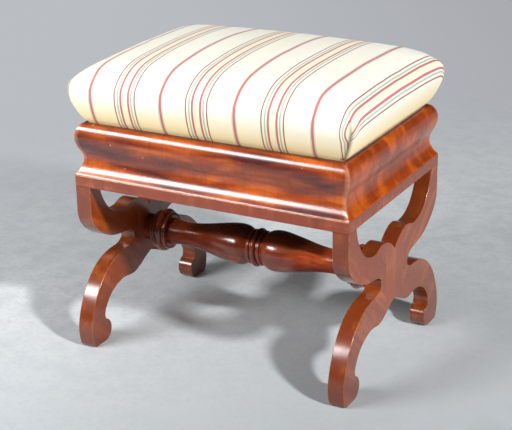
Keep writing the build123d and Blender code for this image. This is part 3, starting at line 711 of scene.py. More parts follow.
def stretcher():
    """The turned stretcher: half a profile, mirrored about the middle ring and revolved about X. For its
    finish it gets its place along, across and into the wood; an arris where the profile is steep; painted
    shade on the upper side of the swellings, where the seat shades them, the product of two ramps; and dull,
    the larger of that and the neck's own ramp."""
    ring_end, quirk, side_ring, collar, bead, drum, disc = mm(4.3, 1.8, 7, 12.5, 4.2, 22.5, 6.5)
    drum_bead, drum_ring, flare = mm(12.5, 17.5, 1.8)
    low, waist, neck, belly = mm(26.8, 27.2, 20.6, 32.6)
    half, fine = STRETCHER_HALF, 0.0008
    ring_start = ring_end + quirk
    side_end = ring_start + side_ring
    belly_start = side_end + quirk
    drum_end = half - collar - bead
    disc_end = drum_end - drum
    disc_start = disc_end - disc
    disc_middle = (disc_start + disc_end) / 2
    run = disc_start - belly_start
    bead_end, ring_edge = disc_end + drum_bead, disc_end + drum_ring
    profile = chain(
        swelling(0, ring_end, MIDDLE_TOP, MIDDLE_TOP, low),
        straight((ring_end, low), (ring_start, low), fine),
        swelling(ring_start, side_end, low, SIDE_TOP, low),
        straight((side_end, low), (belly_start, waist), fine),
        smooth_line([(belly_start, waist), (disc_start - BELLY_SHARE * run, belly),
                     (disc_start - NECK_SHARE * run, neck), (disc_start, neck + flare)], 90, (1, 1), (1, 0)),
        straight((disc_start, neck + flare), (disc_start, low), 0.0015),
        swelling(disc_start, disc_middle, low, DISC_TOP, low, 9),
        swelling(disc_middle, disc_end, low, DISC_TOP, low, 9),
        straight((disc_end, low), (disc_end, DRUM_FOOT), fine),
        swelling(disc_end, bead_end, DRUM_FOOT, DRUM_TOP, DRUM_GROOVE, 22),
        swelling(bead_end, ring_edge, DRUM_GROOVE, RING_TOP, RING_GROOVE, 9),
        swelling(ring_edge, drum_end, RING_GROOVE, LAST_RING_TOP, LAST_GROOVE, 9),
        straight((drum_end, LAST_GROOVE), (drum_end, BEAD_FOOT), fine),
        swelling(drum_end, half - collar, BEAD_FOOT, BEAD_TOP, COLLAR_RADIUS),
        straight((half - collar, COLLAR_RADIUS), (half, COLLAR_RADIUS), 0.002),
        straight((half, COLLAR_RADIUS), (half, TENON_RADIUS), 0.004),
        straight((half, TENON_RADIUS), (half + TENON_LENGTH, TENON_RADIUS), 0.006),
    )
    profile = np.vstack([(profile * (-1, 1))[::-1][:-1], profile])
    sides = 96
    turn = np.linspace(0, 2 * math.pi, sides, endpoint=False)
    x = np.repeat(profile[:, 0], sides)
    y = np.outer(profile[:, 1], np.cos(turn)).ravel()
    z = np.outer(profile[:, 1], np.sin(turn)).ravel()
    last = (len(profile) - 1) * sides
    faces = grid_faces(len(profile), sides, True)
    faces += [list(range(sides))[::-1], [last + k for k in range(sides)]]
    piece = make_piece("turned_stretcher", np.column_stack([x, y, z + STRETCHER_RISE]), faces, [turned_wood],
                       "frame", ["stretcher"], smooth=40)
    put_values(piece, "grain", np.column_stack([x, y, z]))
    slope = np.abs(np.gradient(profile[:, 1], run_length(profile)))
    put_values(piece, "arris", np.repeat(np.clip(slope * SLOPE_WEAR, 0, 1), sides))
    reach = np.abs(profile[:, 0])
    on_swell = 1 - ramp(reach, disc_start - (PAINTED_SHADE_END_SHARE + PAINTED_SHADE_FADE_SHARE) * run, PAINTED_SHADE_FADE_SHARE * run)
    on_neck = ramp(reach, disc_start - DULL_START_SHARE * run, DULL_FADE_SHARE * run) * (reach < disc_start)
    # Painted shade: the upper side of each swelling is darkened where the seat shades it
    darkening = PAINTED_SHADE_STRENGTH * np.outer(on_swell, ramp(np.sin(turn), PAINTED_SHADE_START, PAINTED_SHADE_RAMP)).ravel()
    put_values(piece, "soil_and_shade", darkening)
    put_values(piece, "dull", np.clip(np.maximum(darkening, np.repeat(on_neck, sides)), 0, 1))


# Mitred rails

# Points of the moulding's face as shares: inwards of the cove's depth or of the roll's set, and up of its
# rise
COVE_SHARES = ((0, 0), (0.13, 0.027), (0.37, 0.070), (0.61, 0.122), (0.81, 0.182), (0.95, 0.255),
               (1.0, 0.330), (0.90, 0.405), (0.66, 0.472))
ROLL_SHARES = ((0.12, 0.600), (0, 0.715), (0.10, 0.830), (0.42, 0.935), (0.72, 0.980), (1.0, 1.0))
# The moulding's foot is set in a little from the fascia's face
FOOT_SET = 0.0003
BAND_TOP_EASE, BAND_FOOT_EASE = 0.0012, 0.0009
# Near a mitre: shares of the half rail, and how far its face is drawn in at the end and at the first of them
MITRE_SHARES = (0.0009, 0.0030)
MITRE_PULL, MITRE_SECOND_PULL = 0.00035, 0.00008
# Wear, painted highlights, dust and painted shade on the rails: the share of the half rail past which a mitre
# is near; in metres, how far up the foot gets a line of wear and painted highlight, and how far down the top
# the dust and the painted shade under the cushion start, deepen and reach inwards; then shares of full wear
# and painted highlight
NEAR_MITRE = 0.9965
FOOT_WEAR_AND_HIGHLIGHT, DUST_AND_SHADE_DEPTH, DUST_AND_SHADE_RAMP, DUST_AND_SHADE_REACH = 0.002, 0.0028, 0.0024, 0.02
BAND_RUB_AND_HIGHLIGHT, MITRE_RUB_AND_HIGHLIGHT, MITRE_WEAR_AND_HIGHLIGHT = 0.8, 0.5, 0.6
# How far apart two sides' figures are taken, in metres along the wood, and how much of the inset they follow
FIGURE_STEP, FIGURE_DEPTH_SHARE = 0.7, 0.2


def moulding_section():
    """The moulded rail's section, as inset from its face and height: the flare, the cove and the roll as one
    spline, then the lip, the rebate and the back."""
    cove = np.array(COVE_SHARES) * (COVE, MOULDING_RISE)
    roll = np.array(ROLL_SHARES) * (SHOULDER_SET - ROLL_SET, MOULDING_RISE) + (ROLL_SET, 0)
    face = smooth_line(np.vstack([cove, roll]), 90) + (0, FASCIA_TOP)
    face[0] += (FOOT_SET, 0)
    back = chain(straight(face[-1], (LIP, MOULDING_TOP), 0.0011), straight((LIP, MOULDING_TOP), (LIP, LEDGE)),
                 straight((LIP, LEDGE), (RAIL, LEDGE)), straight((RAIL, LEDGE), (RAIL, FASCIA_TOP), 0.012),
                 straight((RAIL, FASCIA_TOP), face[0], 0.006))
    return face, chain(face, back)[:-1]


def fascia_section():
    """The fascia's section: a flat face between two eased arrises, each a quarter round, then the back."""
    turn = np.radians(np.linspace(0, 90, 6))
    bottom = np.column_stack([BAND_FOOT_EASE * (1 - np.sin(turn)),
                              LEG_RISE + BAND_FOOT_EASE * (1 - np.cos(turn))])
    top = np.column_stack([BAND_TOP_EASE * (1 - np.cos(turn)),
                           FASCIA_TOP - BAND_TOP_EASE * (1 - np.sin(turn))])
    face = chain(bottom, straight(bottom[-1], top[0], 0.002), top)
    back = chain(straight(face[-1], (RAIL, FASCIA_TOP), 0.006),
                 straight((RAIL, FASCIA_TOP), (RAIL, LEG_RISE), 0.006),
                 straight((RAIL, LEG_RISE), face[0], 0.006))
    return face, chain(face, back)[:-1]


def outward_normals(section):
    """The unit normal at each point of a closed section, turned away from its middle."""
    level = section[:, 1]
    centre = np.array([RAIL / 2, (level.min() + level.max()) / 2])
    away = np.roll(section, -1, 0) - np.roll(section, 1, 0)
    normal = np.column_stack([away[:, 1], -away[:, 0]])
    normal /= np.maximum(np.linalg.norm(normal, axis=1), 1e-9)[:, None]
    return normal * np.sign(np.sum(normal * (section - centre), axis=1))[:, None]


def mitred_rail(name, face, section, length, depth, turns, finishes, node, steps=60):
    """A section carried along one side of the frame. At share t of the way, from -1 to 1, a point of the
    section lies at t x (half the length - its inset), which makes the mitres. The face is drawn in at each
    end and a little beside it, so the joint shows as a fine line. Veneer covers the face and, on the
    moulding, the top; the rest is the core's wood."""
    near_end, less_near = MITRE_SHARES
    inner = np.linspace(-1, 1, steps)[1:-1]
    share = np.concatenate([[-1, -1 + near_end, -1 + less_near], inner, [1 - less_near, 1 - near_end, 1]])
    pull = np.zeros(len(share))
    pull[[0, -1]] = MITRE_PULL
    pull[[1, -2]] = MITRE_SECOND_PULL
    inset, level = section.T
    outside = np.arange(len(section)) < len(face)
    normal = outward_normals(section)
    rows = []
    for t, p in zip(share, pull):
        shape = section - normal * p * outside[:, None]
        rows.append(np.column_stack([t * (length / 2 - inset), -depth / 2 + shape[:, 0], shape[:, 1]]))
    points = np.vstack(rows)
    along = points[:, 0].copy()
    points[:, :2] = quarter_turned(points[:, 0], points[:, 1], turns)
    count, row_count = len(section), len(share)
    faces = grid_faces(row_count, count, True)
    shown = (np.arange(count) < len(face) - 1) | ((level + np.roll(level, -1)) / 2 > MOULDING_TOP - 1e-5)
    finish_of = [0 if shown[k % count] else 1 for k in range(len(faces))] + [1, 1]
    faces += [list(range(count))[::-1], [(row_count - 1) * count + k for k in range(count)]]
    faces = [corners[::-1] for corners in faces]
    piece = make_piece(name, points, faces, finishes, "frame", [node], finish_of, 40)
    travelled = run_length(section)
    put_values(piece, "grain", np.column_stack([along + turns * FIGURE_STEP, np.tile(travelled, row_count),
                                                np.tile(inset, row_count) * FIGURE_DEPTH_SHARE]))
    near = np.abs(np.repeat(share, count)) > NEAR_MITRE
    banded = "band" in name
    # Wear and painted highlight: the mitres, the fascia's top arris on the front and rear, and the moulding's
    # foot are brightened
    wear_and_highlight = (level > FASCIA_TOP - BAND_TOP_EASE) if banded else (travelled < FOOT_WEAR_AND_HIGHLIGHT)
    wear_and_highlight_edge = np.tile(np.where(wear_and_highlight & outside, 1.0, 0.0), row_count)
    put_values(piece, "rubbed_and_highlight", wear_and_highlight_edge * (turns % 2 == 0) * BAND_RUB_AND_HIGHLIGHT if banded else near * MITRE_RUB_AND_HIGHLIGHT)
    put_values(piece, "arris", np.maximum(near * MITRE_WEAR_AND_HIGHLIGHT, wear_and_highlight_edge))
    if banded:
        steady_normals(piece)
    else:
        # Dust and painted shade: the top of the moulding under the cushion is darkened
        dust = (inset < DUST_AND_SHADE_REACH) * ramp(level, MOULDING_TOP - DUST_AND_SHADE_DEPTH, DUST_AND_SHADE_RAMP)
        put_values(piece, "soil_and_shade", np.tile(dust, row_count))
    return piece


def frame_rails():
    """Fascias and mouldings on the four sides: straight-grained veneer on the long ones, flame on the
    ends."""
    long_side, short_side = 2 * HALF_LENGTH, 2 * HALF_DEPTH
    for turns, name in enumerate(("front", "right", "rear", "left")):
        on_end = turns % 2 == 1
        length, depth = (short_side, long_side) if on_end else (long_side, short_side)
        core = pine_cross if on_end else pine_long
        veneer = end_veneer if on_end else rail_veneer
        mitred_rail(f"{name}_ogee_rail", *moulding_section(), length, depth, turns, [veneer, core],
                    f"moulding_{name}")
        mitred_rail(f"{name}_flat_band", *fascia_section(), length, depth, turns, [band_veneer, core],
                    f"fascia_{name}")


# The cushion

# The crown's height above the moulding; then up the sides, at each rise, the outset from the frame's face and
# the corner's radius
CROWN = 0.110
SIDE_RISE = np.array((0, 3.3, 11, 19.8, 29.8, 40.8, 52.9, 63.3, 70.3, 74.8)) * MM
SIDE_OUT = np.array((-17.8, -13.6, -8.2, -3.6, 0.6, 4.6, 7.9, 8.9, 8.5, 6.5)) * MM
SIDE_CORNER = np.array((2, 4, 6, 8, 10, 12, 14, 17, 21, 24)) * MM
# The crown's edge, its fall there and at the corners, how far inwards it begins to fall, its two powers, and
# the most closeness that counts
EDGE_OUT = 0.0065
FALL, CORNER_FALL = 0.0352, 0.0058
REACH_X, REACH_Y = 0.223, 0.180
DOME_POWER, BORDER_POWER, CLOSEST = 2.1, 11.4, 1.06
# The grid's columns along a long and a short side, its rings up the sides, and how close they are packed
COUNT_X, COUNT_Y, SIDE_ROWS = 84, 60, 18
PACKING = 0.30
# The cover's edge under the seat, from the raw edge outwards and up: inset from the frame's face and height
UNDERSIDE = SEAT_BOTTOM - 0.0006
TURNED_EDGE = ((0.0445, UNDERSIDE), (0.0320, UNDERSIDE), (0.0200, UNDERSIDE), (0.0184, SEAT_BOTTOM + 0.001),
               (0.0184, 0.3725), (0.0183, 0.3815))
WELL_CORNER, LEAST_CORNER, SIDE_START = 0.003, 0.004, 0.0005
# The flat cloth: where it begins to come loose round a corner and over how far, how tightly the ends were
# pulled, and how much the front leans for each metre down
LOOSE_FROM, LOOSE_OVER = 0.038, 0.020
END_PULL, FRONT_LEAN = 0.80, 0.085
# Settling: its frames, the most that a point may move, the rise where it becomes free to, over how far, and
# the rings above the lower edge over which the hold on the cover lets go
SETTLE_FRAMES, SETTLE_CAP = 20, 0.0018
FREE_FROM, FREE_OVER, HELD_RINGS = 0.03, 0.05, 3
# Corner pleats: the share of the rise where they end above and the share over which they deepen, then the
# widths in columns, and the depth of the groove and height of the swell beside it
PLEAT_TOP_SHARE, PLEAT_RUN_SHARE = 0.80, 0.5
GROOVE_COLUMNS, GROOVE_DEPTH = 0.8, 0.0024
SWELL_PLACE, SWELL_COLUMNS, SWELL_HEIGHT = 2.6, 1.2, 0.0005
# How strongly a pleat's groove is darkened, as painted shade in the crease
PLEAT_SHADE_STRENGTH = 1.2
# Columns that a corner keeps free of tucks, and a count that is far from every corner
CORNER_COLUMNS, FAR_AWAY = 3, 99
# Tucks: waves round the cushion as count, phase and weight, then their level, reach and depth
TUCK_WAVES = ((47, 1.3, 1.0), (83, 0.4, 0.7), (131, 2.1, 0.5))
TUCK_LEVEL_SHARE, TUCK_REACH_SHARE, TUCK_DEPTH = 0.10, 0.16, 0.00025
# Shallow hollows on the crown: where they start, their depth, and waves along X and Y as count and phase
HOLLOW_FROM_SHARE, HOLLOW_OVER_SHARE, HOLLOW_DEPTH = 0.9, 0.08, 0.0009
HOLLOW_WAVES = ((21, 0.6), (27, 1.1))
CLOTH_THICKNESS = 0.0009
# The pad inside: how far it is drawn in, the share of the rise that it keeps, its flat bottom and its grid
PAD_INSET, PAD_RISE_SHARE, PAD_BOTTOM = 0.009, 0.90, 0.3872
PAD_COUNT_X, PAD_COUNT_Y, PAD_ROWS = 46, 34, 12


def packed(t):
    """Shares from -1 to 1 packed closer at both ends: PACKING x the sine of 90 degrees t, and the rest x
    t."""
    return np.sin(t * math.pi / 2) * PACKING + t * (1 - PACKING)


def crown_height(x, y):
    """The crown above the moulding. A side's closeness c is 1 at the edge and 0 at its reach inwards, and
    its fall is the mean of c to the 2.1 and c to the 11.4, so the crown is a dome with a rounder border. The
    falls of the two directions are joined as the cube root of the sum of their cubes, and where both are
    close the corner falls by the product of the two as well."""
    close = [np.clip(1 - (half + EDGE_OUT - np.abs(v)) / reach, 0, CLOSEST)
             for half, reach, v in ((HALF_LENGTH, REACH_X, x), (HALF_DEPTH, REACH_Y, y))]
    fall = [(c ** DOME_POWER + c ** BORDER_POWER) / 2 for c in close]
    return CROWN - FALL * (fall[0] ** 3 + fall[1] ** 3) ** (1 / 3) - CORNER_FALL * close[0] * close[1]


def side_column(share, straight_half, corner):
    """A point of one side of a rounded rectangle, from the middle of one corner to the middle of the next:
    along the side and inwards from it. Beyond the straight part it goes round the corner by half its turn."""
    bend = corner * math.pi / 4
    at = share * (straight_half + bend)
    turn = np.maximum(np.abs(at) - straight_half, 0) / corner
    along = np.sign(at) * (np.minimum(np.abs(at), straight_half) + corner * np.sin(turn))
    return along, corner * (1 - np.cos(turn))


def cushion_loop(outset, corner, count_x, count_y):
    """One closed ring of the cushion at an outset from the frame's face: front, right, rear and left sides,
    with the points packed closer at the corners."""
    ring = []
    sides = ((count_x, HALF_LENGTH, HALF_DEPTH), (count_y, HALF_DEPTH, HALF_LENGTH)) * 2
    for turns, (count, half, deep) in enumerate(sides):
        share = packed(np.linspace(-1, 1, count + 1)[:-1])
        along, inward = side_column(share, half + outset - corner, corner)
        ring.append(quarter_turned(along, inward - (deep + outset), turns))
    return np.vstack(ring)


def patch(ring, count_x, count_y):
    """The top inside a ring as a grid: a Coons patch, the sum of the two straight blends between opposite
    sides less the blend of the corners."""
    front = ring[:count_x + 1]
    right = ring[count_x:count_x + count_y + 1]
    rear = ring[count_x + count_y:2 * count_x + count_y + 1][::-1]
    left = np.vstack([ring[2 * count_x + count_y:], ring[:1]])[::-1]
    s = np.linspace(0, 1, count_x + 1)[None, :, None]
    t = np.linspace(0, 1, count_y + 1)[:, None, None]
    across = (1 - t) * front[None] + t * rear[None]
    along = (1 - s) * left[:, None] + s * right[:, None]
    corners = ((1 - s) * (1 - t) * front[0] + s * (1 - t) * front[-1]
               + (1 - s) * t * rear[0] + s * t * rear[-1])
    return across + along - corners


def cushion_mesh(count_x=COUNT_X, count_y=COUNT_Y, rows=SIDE_ROWS):
    """The cover as one grid: the edge turned under the seat and the band up out of the frame, then rings up
    the sides, then the crown's patch. Returns points, faces, the number of rings in the frame and up the
    sides, the columns, and each ring's outset and corner radius."""
    rises = np.linspace(0, 1, rows)
    fine = smooth_line(np.column_stack([SIDE_RISE, SIDE_OUT]), 300)
    out = np.interp(rises * SIDE_RISE[-1], fine[:, 0], fine[:, 1])
    corner_at = np.interp(rises * SIDE_RISE[-1], SIDE_RISE, SIDE_CORNER)
    top_ring = cushion_loop(out[-1], corner_at[-1], count_x, count_y)
    edge_level = crown_height(top_ring[:, 0], top_ring[:, 1])
    corner_at = np.maximum(corner_at, LEAST_CORNER)
    stack = []
    for inset, level in TURNED_EDGE:
        ring = cushion_loop(-inset, WELL_CORNER, count_x, count_y)
        stack.append(np.column_stack([ring, np.full(len(ring), level)]))
    for k in range(rows):
        ring = cushion_loop(out[k], corner_at[k], count_x, count_y)
        level = MOULDING_TOP + SIDE_START + rises[k] * (edge_level - SIDE_START)
        stack.append(np.column_stack([ring, level]))
    top = patch(stack[-1], count_x, count_y)
    inner = np.zeros(top.shape[:2], bool)
    inner[1:-1, 1:-1] = True
    top[..., 2] = np.where(inner, MOULDING_TOP + crown_height(top[..., 0], top[..., 1]), top[..., 2])
    under, columns = len(TURNED_EDGE), len(stack[-1])
    stack = np.vstack(stack)
    # the patch's border is the last ring, and its inner points are numbered after all the rings
    base = len(stack) - columns
    index = np.full(inner.shape, -1)
    index[0, :] = base + np.arange(count_x + 1)
    index[:, -1] = base + np.arange(count_x, count_x + count_y + 1)
    index[-1, ::-1] = base + np.arange(count_x + count_y, 2 * count_x + count_y + 1)
    index[::-1, 0] = base + np.arange(2 * count_x + count_y, columns + 1) % columns
    index[inner] = len(stack) + np.arange(inner.sum())
    quads = np.stack([index[:-1, :-1], index[:-1, 1:], index[1:, 1:], index[1:, :-1]], -1).reshape(-1, 4)
    faces = grid_faces(under + rows, columns, True) + quads.tolist()
    outs = np.concatenate([[-inset for inset, level in TURNED_EDGE], out])
    corners = np.concatenate([np.full(under, WELL_CORNER), corner_at])
    return np.vstack([stack, top[inner]]), faces, under, rows, columns, outs, corners


def settle(piece, pinned, cap, freedom, pressure=4.0):
    """Fills the cover with air in Blender's cloth solver while its lower edge is held, then keeps each point
    near where it started: a move of size d becomes cap x tanh(d / cap), times the point's freedom."""
    group = piece.vertex_groups.new(name="held")
    for weight in np.unique(pinned):
        group.add(np.nonzero(pinned == weight)[0].tolist(), float(weight), "REPLACE")
    cloth = piece.modifiers.new("air", "CLOTH")
    cloth.settings.vertex_group_mass = "held"
    cloth.settings.quality = 5
    cloth.settings.mass = 0.25
    cloth.settings.tension_stiffness = 25
    cloth.settings.compression_stiffness = 25
    cloth.settings.bending_stiffness = 1.2
    cloth.settings.use_pressure = True
    cloth.settings.uniform_pressure_force = pressure
    cloth.settings.effector_weights.gravity = 0
    cloth.collision_settings.use_collision = False
    cloth.point_cache.frame_start = 1
    cloth.point_cache.frame_end = SETTLE_FRAMES
    start = read_points(piece.data)
    scene = bpy.context.scene
    for step in range(1, SETTLE_FRAMES + 1):
        scene.frame_set(step)
    ready = piece.evaluated_get(bpy.context.evaluated_depsgraph_get())
    move = read_points(ready.data) - start
    piece.modifiers.remove(cloth)
    scene.frame_set(1)
    size = np.linalg.norm(move, axis=1)[:, None]
    move *= cap * np.tanh(size / cap) / np.maximum(size, 1e-9) * freedom[:, None]
    piece.data.vertices.foreach_set("co", (start + move).ravel())
    piece.data.update()


def read_points(mesh):
    """A mesh's points as rows of three."""
    flat = np.zeros(len(mesh.vertices) * 3)
    mesh.vertices.foreach_get("co", flat)
    return flat.reshape(-1, 3)


def spare_length():
    """How much longer the cloth is than its plan, over a quarter of the crown: along X the sum of the slanted
    steps less the level ones, and the same along Y. Returns a lookup of both at any place."""
    x, y = np.linspace(0, HALF_LENGTH + EDGE_OUT, 260), np.linspace(0, HALF_DEPTH + EDGE_OUT, 200)
    level = crown_height(*np.meshgrid(x, y, indexing="ij"))
    spare = []
    for axis, line in ((0, x), (1, y)):
        flat = line[1]
        extra = np.hypot(np.diff(level, axis=axis), flat) - flat
        spare.append(np.concatenate([np.zeros_like(level.take([0], axis)), np.cumsum(extra, axis)], axis))

    def lookup(px, py):
        """Both sums at each place, blended between the four nearest and given the place's sign."""
        fx, fy = np.abs(px) / x[1], np.abs(py) / y[1]
        i, j = np.clip(fx.astype(int), 0, len(x) - 2), np.clip(fy.astype(int), 0, len(y) - 2)
        a, b = np.clip(fx - i, 0, 1), np.clip(fy - j, 0, 1)
        found = []
        for place, table in ((px, spare[0]), (py, spare[1])):
            blend = ((1 - a) * (1 - b) * table[i, j] + a * (1 - b) * table[i + 1, j]
                     + (1 - a) * b * table[i, j + 1] + a * b * table[i + 1, j + 1])
            found.append(np.sign(place) * blend)
        return found
    return lookup


def cloth_map(piece, under, rows, columns, outs, corners):
    """Lays the flat cloth on the cover. On the crown U and V are the length along the cloth from the middle.
    Down a side the length below the edge is added. Round a corner the cloth first turns about the corner's
    centre, by the point's share of 45 degrees, and further out by its length over its distance, which keeps
    the cloth's own width, so the spare goes into the pleat at the corner."""
    mesh = piece.data
    places = read_points(mesh)
    loops = np.zeros(len(mesh.loops), np.int64)
    mesh.loops.foreach_get("vertex_index", loops)
    owner = np.repeat(np.arange(len(mesh.polygons)), 4)
    stack = (under + rows) * columns
    grid = places[:stack].reshape(under + rows, columns, 3)
    below = np.zeros((under + rows, columns))
    below[:-1] = np.cumsum(np.linalg.norm(np.diff(grid, axis=0), axis=2)[::-1], axis=0)[::-1]
    radius = SIDE_CORNER[-1]
    spare = np.stack(spare_length()(places[:, 0], places[:, 1]), -1)
    uv = (places[:, :2] + spare)[loops]
    # the walls: along the side by the ring's own length, and outwards by the length below the edge
    on_wall = (np.arange(len(mesh.polygons)) < (under + rows - 1) * columns)[owner]
    vert = loops[on_wall]
    row, column = vert // columns, vert % columns
    starts = np.cumsum([0, COUNT_X, COUNT_Y, COUNT_X, COUNT_Y])
    side = np.searchsorted(starts, owner[on_wall] % columns, "right") - 1
    on_long = side % 2 == 0
    share = packed((column - starts[side]) % columns / np.where(on_long, COUNT_X, COUNT_Y) * 2 - 1)
    half, deep = np.where(on_long, HALF_LENGTH, HALF_DEPTH), np.where(on_long, HALF_DEPTH, HALF_LENGTH)
    longest = half + outs[row] - corners[row] * (1 - math.pi / 4)
    travel = np.abs(share) * longest
    start_out = half + EDGE_OUT - radius
    over = np.maximum(travel - start_out, 0)
    most_over = np.maximum(longest - start_out, 1e-4)
    # the cloth was pulled tighter over the ends than over the long sides
    far = radius + below[row, column] * np.where(on_long, 1.0, END_PULL)
    loose = ramp(far, LOOSE_FROM, LOOSE_OVER)
    angle = (1 - loose) * over / most_over * math.pi / 4 + loose * over / far
    new_along = np.sign(share) * (np.minimum(travel, start_out) + far * np.sin(angle))
    new_out = deep + EDGE_OUT - radius + far * np.cos(angle)
    # the front was pulled a little sideways as it was tacked, so its stripes lean
    new_along = new_along + np.where(side == 0, FRONT_LEAN * below[row, column], 0)
    turn_by = np.array(QUARTER_TURNS)[side]
    edge = spare[stack - columns + column]
    uv[on_wall, 0] = new_along * turn_by[:, 0] + new_out * turn_by[:, 1] + edge[:, 0]
    uv[on_wall, 1] = new_along * turn_by[:, 1] - new_out * turn_by[:, 0] + edge[:, 1]
    layer = mesh.uv_layers.new(name="cloth")
    layer.data.foreach_set("uv", uv.astype(np.float32).ravel())


def corner_pleats(places, up, apart):
    """A groove down each corner with a swell on both sides, both bell curves of the columns apart and deepest
    low down. Returns how deep in the groove each point is, from 0 to 1."""
    depth = np.clip((PLEAT_TOP_SHARE - up) / PLEAT_RUN_SHARE, 0, 1) * (up > 0)
    groove = np.exp(-(apart / GROOVE_COLUMNS) ** 2) * depth
    swell = np.exp(-((apart - SWELL_PLACE) / SWELL_COLUMNS) ** 2) * depth
    corner_way = np.sign(places[:, :2]) / math.sqrt(2)
    places[:, :2] += corner_way * (swell * SWELL_HEIGHT - groove * GROOVE_DEPTH)[:, None]
    return groove


def lower_tucks(places, up, apart):
    """Short shallow waves round the lower edge, the weighted mean of sines of the angle round the cushion,
    which die out a third of the way up and leave the corners alone."""
    x, y = places[:, 0], places[:, 1]
    around = np.arctan2(y / HALF_DEPTH, x / HALF_LENGTH)
    waves = [weight * np.sin(around * count + phase) for count, phase, weight in TUCK_WAVES]
    wave = sum(waves) / sum(weight for count, phase, weight in TUCK_WAVES)
    fade = np.exp(-((up - TUCK_LEVEL_SHARE) / TUCK_REACH_SHARE) ** 2) * (up > 0) * (apart > CORNER_COLUMNS)
    on_end = np.abs(x) - HALF_LENGTH > np.abs(y) - HALF_DEPTH
    outward = np.column_stack([np.where(on_end, np.sign(x), 0), np.where(on_end, 0, np.sign(y))])
    places[:, :2] += outward * (wave * fade * TUCK_DEPTH)[:, None]


def cushion():
    """The stuffed seat: its grid is settled by the cloth solver, then gets the corner pleats, the small
    tucks where the cover goes down behind the moulding, and a few shallow hollows where the stuffing has
    settled."""
    points, faces, under, rows, columns, outs, corners = cushion_mesh()
    piece = make_piece("striped_seat_cover", points, faces, [cover_cloth], "seat",
                       ["striped_cover"], smooth=0)
    ring_of = np.minimum(np.arange(len(points)) // columns, under + rows)
    held = np.clip(1 - (ring_of - under - 1) / HELD_RINGS, 0, 1).round(2)
    cloth_map(piece, under, rows, columns, outs, corners)
    rise = ramp(points[:, 2] - MOULDING_TOP, FREE_FROM, FREE_OVER)
    settle(piece, held, SETTLE_CAP, rise * rise * (3 - 2 * rise))
    places = read_points(piece.data)
    up = np.clip((places[:, 2] - MOULDING_TOP) / CROWN, 0, 1)
    # how many columns each point of a ring is from the nearest corner; the crown's own points count as far
    starts = (0, COUNT_X, COUNT_X + COUNT_Y, 2 * COUNT_X + COUNT_Y)
    column = np.arange(len(points)) % columns
    away = [np.minimum(np.abs(column - s), columns - np.abs(column - s)) for s in starts]
    apart = np.where(ring_of < under + rows, np.min(away, axis=0), FAR_AWAY)
    groove = corner_pleats(places, up, apart)
    lower_tucks(places, up, apart)
    (count_x, phase_x), (count_y, phase_y) = HOLLOW_WAVES
    ripples = 1 + np.sin(places[:, 0] * count_x + phase_x) * np.sin(places[:, 1] * count_y + phase_y)
    places[:, 2] -= ramp(up, HOLLOW_FROM_SHARE, HOLLOW_OVER_SHARE) * HOLLOW_DEPTH * ripples / 2
    piece.data.vertices.foreach_set("co", places.ravel())
    # Painted shade: how deep each point lies in a pleat's groove, for the cover to darken there
    put_values(piece, "tuck", np.clip(groove * PLEAT_SHADE_STRENGTH, 0, 1))
    shell = piece.modifiers.new("cloth_thickness", "SOLIDIFY")
    shell.thickness = CLOTH_THICKNESS
    shell.offset = -1
    finer = piece.modifiers.new("finer", "SUBSURF")
    finer.levels = finer.render_levels = 1
    finer.uv_smooth = "PRESERVE_BOUNDARIES"


def stuffing():
    """The horsehair pad: the cushion's own form above the frame, drawn in and lowered by a share, and closed
    by a flat bottom on the hessian."""
    points, faces, under, _, columns = cushion_mesh(PAD_COUNT_X, PAD_COUNT_Y, PAD_ROWS)[:5]
    low = under * columns
    points = points[low:] * (1 - PAD_INSET / HALF_LENGTH, 1 - PAD_INSET / HALF_DEPTH, 1)
    rise = points[:, 2] - MOULDING_TOP
    points[:, 2] = np.where(rise > 0, MOULDING_TOP + rise * PAD_RISE_SHARE, points[:, 2])
    points[:columns, 2] = PAD_BOTTOM
    faces = [[k - low for k in face] for face in faces if min(face) >= low]
    faces.append(list(range(columns))[::-1])
    piece = make_piece("horsehair_stuffing", points, faces, [hair], "seat", ["stuffing"],
                       smooth=50)


# Straps and sacking

# The straps' places from the seat's middle, in spacings, and their sizes in metres
LONG_ORDER, CROSS_ORDER = (-1, 0, 1), (-1.5, -0.5, 0.5, 1.5)
STRAP_HALF_WIDTH, STRAP_THICKNESS, STRAP_GAP = 0.025, 0.0011, 0.0001
LONG_STRAP_HALF, CROSS_STRAP_HALF = 0.203, 0.1365
# The spacing of straps is the seat's width less this margin, over their number
STRAP_MARGIN = 0.096
# A cross strap goes over or under a long one by the rise. It sets out at the reach from the crossing's middle
# and has risen after the ramp
WEAVE_RISE, WEAVE_REACH, WEAVE_RAMP = 0.0012, 0.0285, 0.0035
HESSIAN_MARGIN, HESSIAN_LEVEL, HESSIAN_THICKNESS = 0.008, SEAT_TOP + 0.0024, 0.0006


